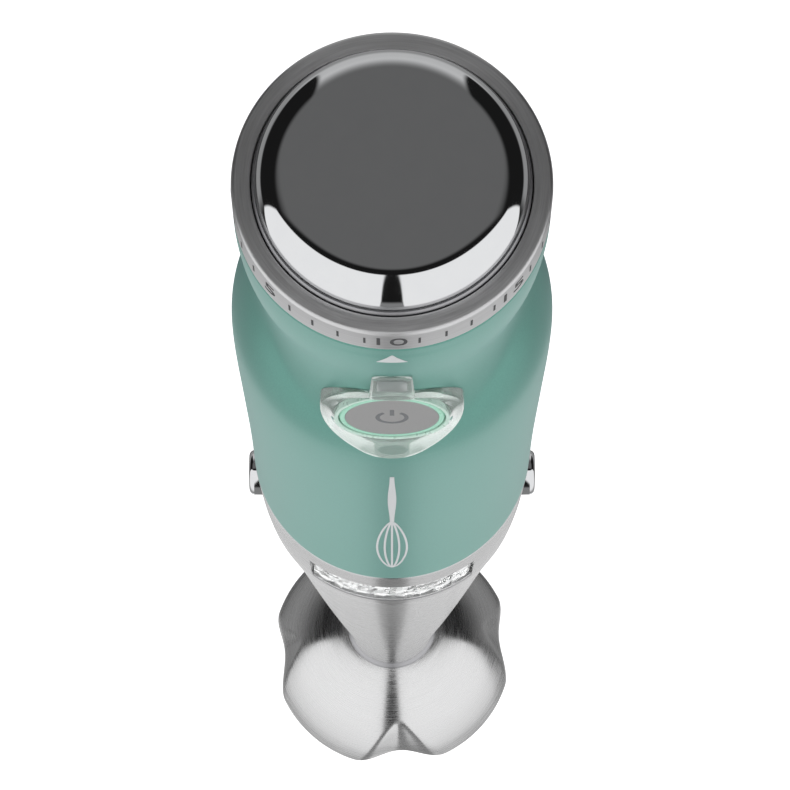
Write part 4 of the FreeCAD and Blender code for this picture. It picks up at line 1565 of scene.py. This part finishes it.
        # The panels' outer edges lean forward, both above and below the horizon.
        slant = maths("MAXIMUM", maths("MULTIPLY_ADD", up, 0.47, -0.296),
                      maths("MULTIPLY_ADD", up, -0.3, -0.02))
        edge = maths("MINIMUM", maths("SUBTRACT", maths("MAXIMUM", slant, 0.0), 0.07), 0.11)
        panels = product(split, step(maths("SUBTRACT", ahead, edge), -0.012, 0.02), step(down, 1.0, 0.4))
        # White table that lights the steel from below.
        table = product(split, step(down, 0.83, 0.95), step(north, 0.42, 0.22))
        # Greys under the horizon: all around, behind, in front between the panels, and straight down.
        below = product(step(down, 0.30, 0.75), step(north, 0.42, 0.30))
        behind = product(step(north, 0.02, 0.22), step(down, 0.05, 0.2), step(down, 0.82, 0.66))
        between = product(step(down, 0.0, 0.3), step(ahead, 0.0, 0.1))
        under = step(down, 0.985, 0.997)
        # Greys over the horizon behind, cut off at the sides by two black flags.
        ceiling = product(step(north, 0.03, 0.12), step(up, 0.05, 0.8), step(aside, 0.74, 0.40))
        rear = product(step(north, 0.2, 0.6), step(up, 0.75, 0.32), step(aside, 0.92, 0.40),
                       step(down, 0.6, 0.0))
        corner = maths("SUBTRACT", aside, maths("MULTIPLY", north, 0.45))
        flags = product(step(north, 0.0, 0.1), step(corner, -0.02, 0.03), step(up, -0.12, -0.02),
                        step(up, 0.80, 0.68))
        soft = maths("ADD", maths("MULTIPLY", ceiling, self.ceiling_power),
                     maths("MULTIPLY", rear, self.rear_power))
        soft = product(soft, maths("SUBTRACT", 1.0, flags))
        # The brightest of all these, over a faint light from everywhere.
        total = maths("MAXIMUM", maths("MULTIPLY", panels, self.panel_power), table)
        for region, power in zip((below, behind, between, under), self.lower_power):
            total = maths("MAXIMUM", total, maths("MULTIPLY", region, power))
        total = maths("ADD", maths("MAXIMUM", total, soft), self.ambient)
        shade = add_node(tree, "ShaderNodeBackground", {"Color": (1, 1, 1, 1)}, {"Strength": total})
        add_node(tree, "ShaderNodeOutputWorld", links={"Surface": shade.outputs[0]})

    def build(self) -> None:
        """Set the stage, the light and the camera."""
        bpy.context.scene.view_settings.view_transform = "Standard"
        self.stage()
        self.light()
        self.camera()


def main() -> None:
    """Build the blender piece by piece."""
    logging.basicConfig(level=logging.INFO, format="%(name)s: %(message)s")
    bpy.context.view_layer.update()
    InnerWorks().build()
    housing = GripHousing()
    housing.build()
    SpeedDial().build()
    TopCap().build()
    ThumbButton(housing).build()
    LightBar().build()
    ReleaseButtons().build()
    ReturnSprings().build()
    BlendingShaft().build()
    Studio().build()


if __name__ == "__main__":
    main()
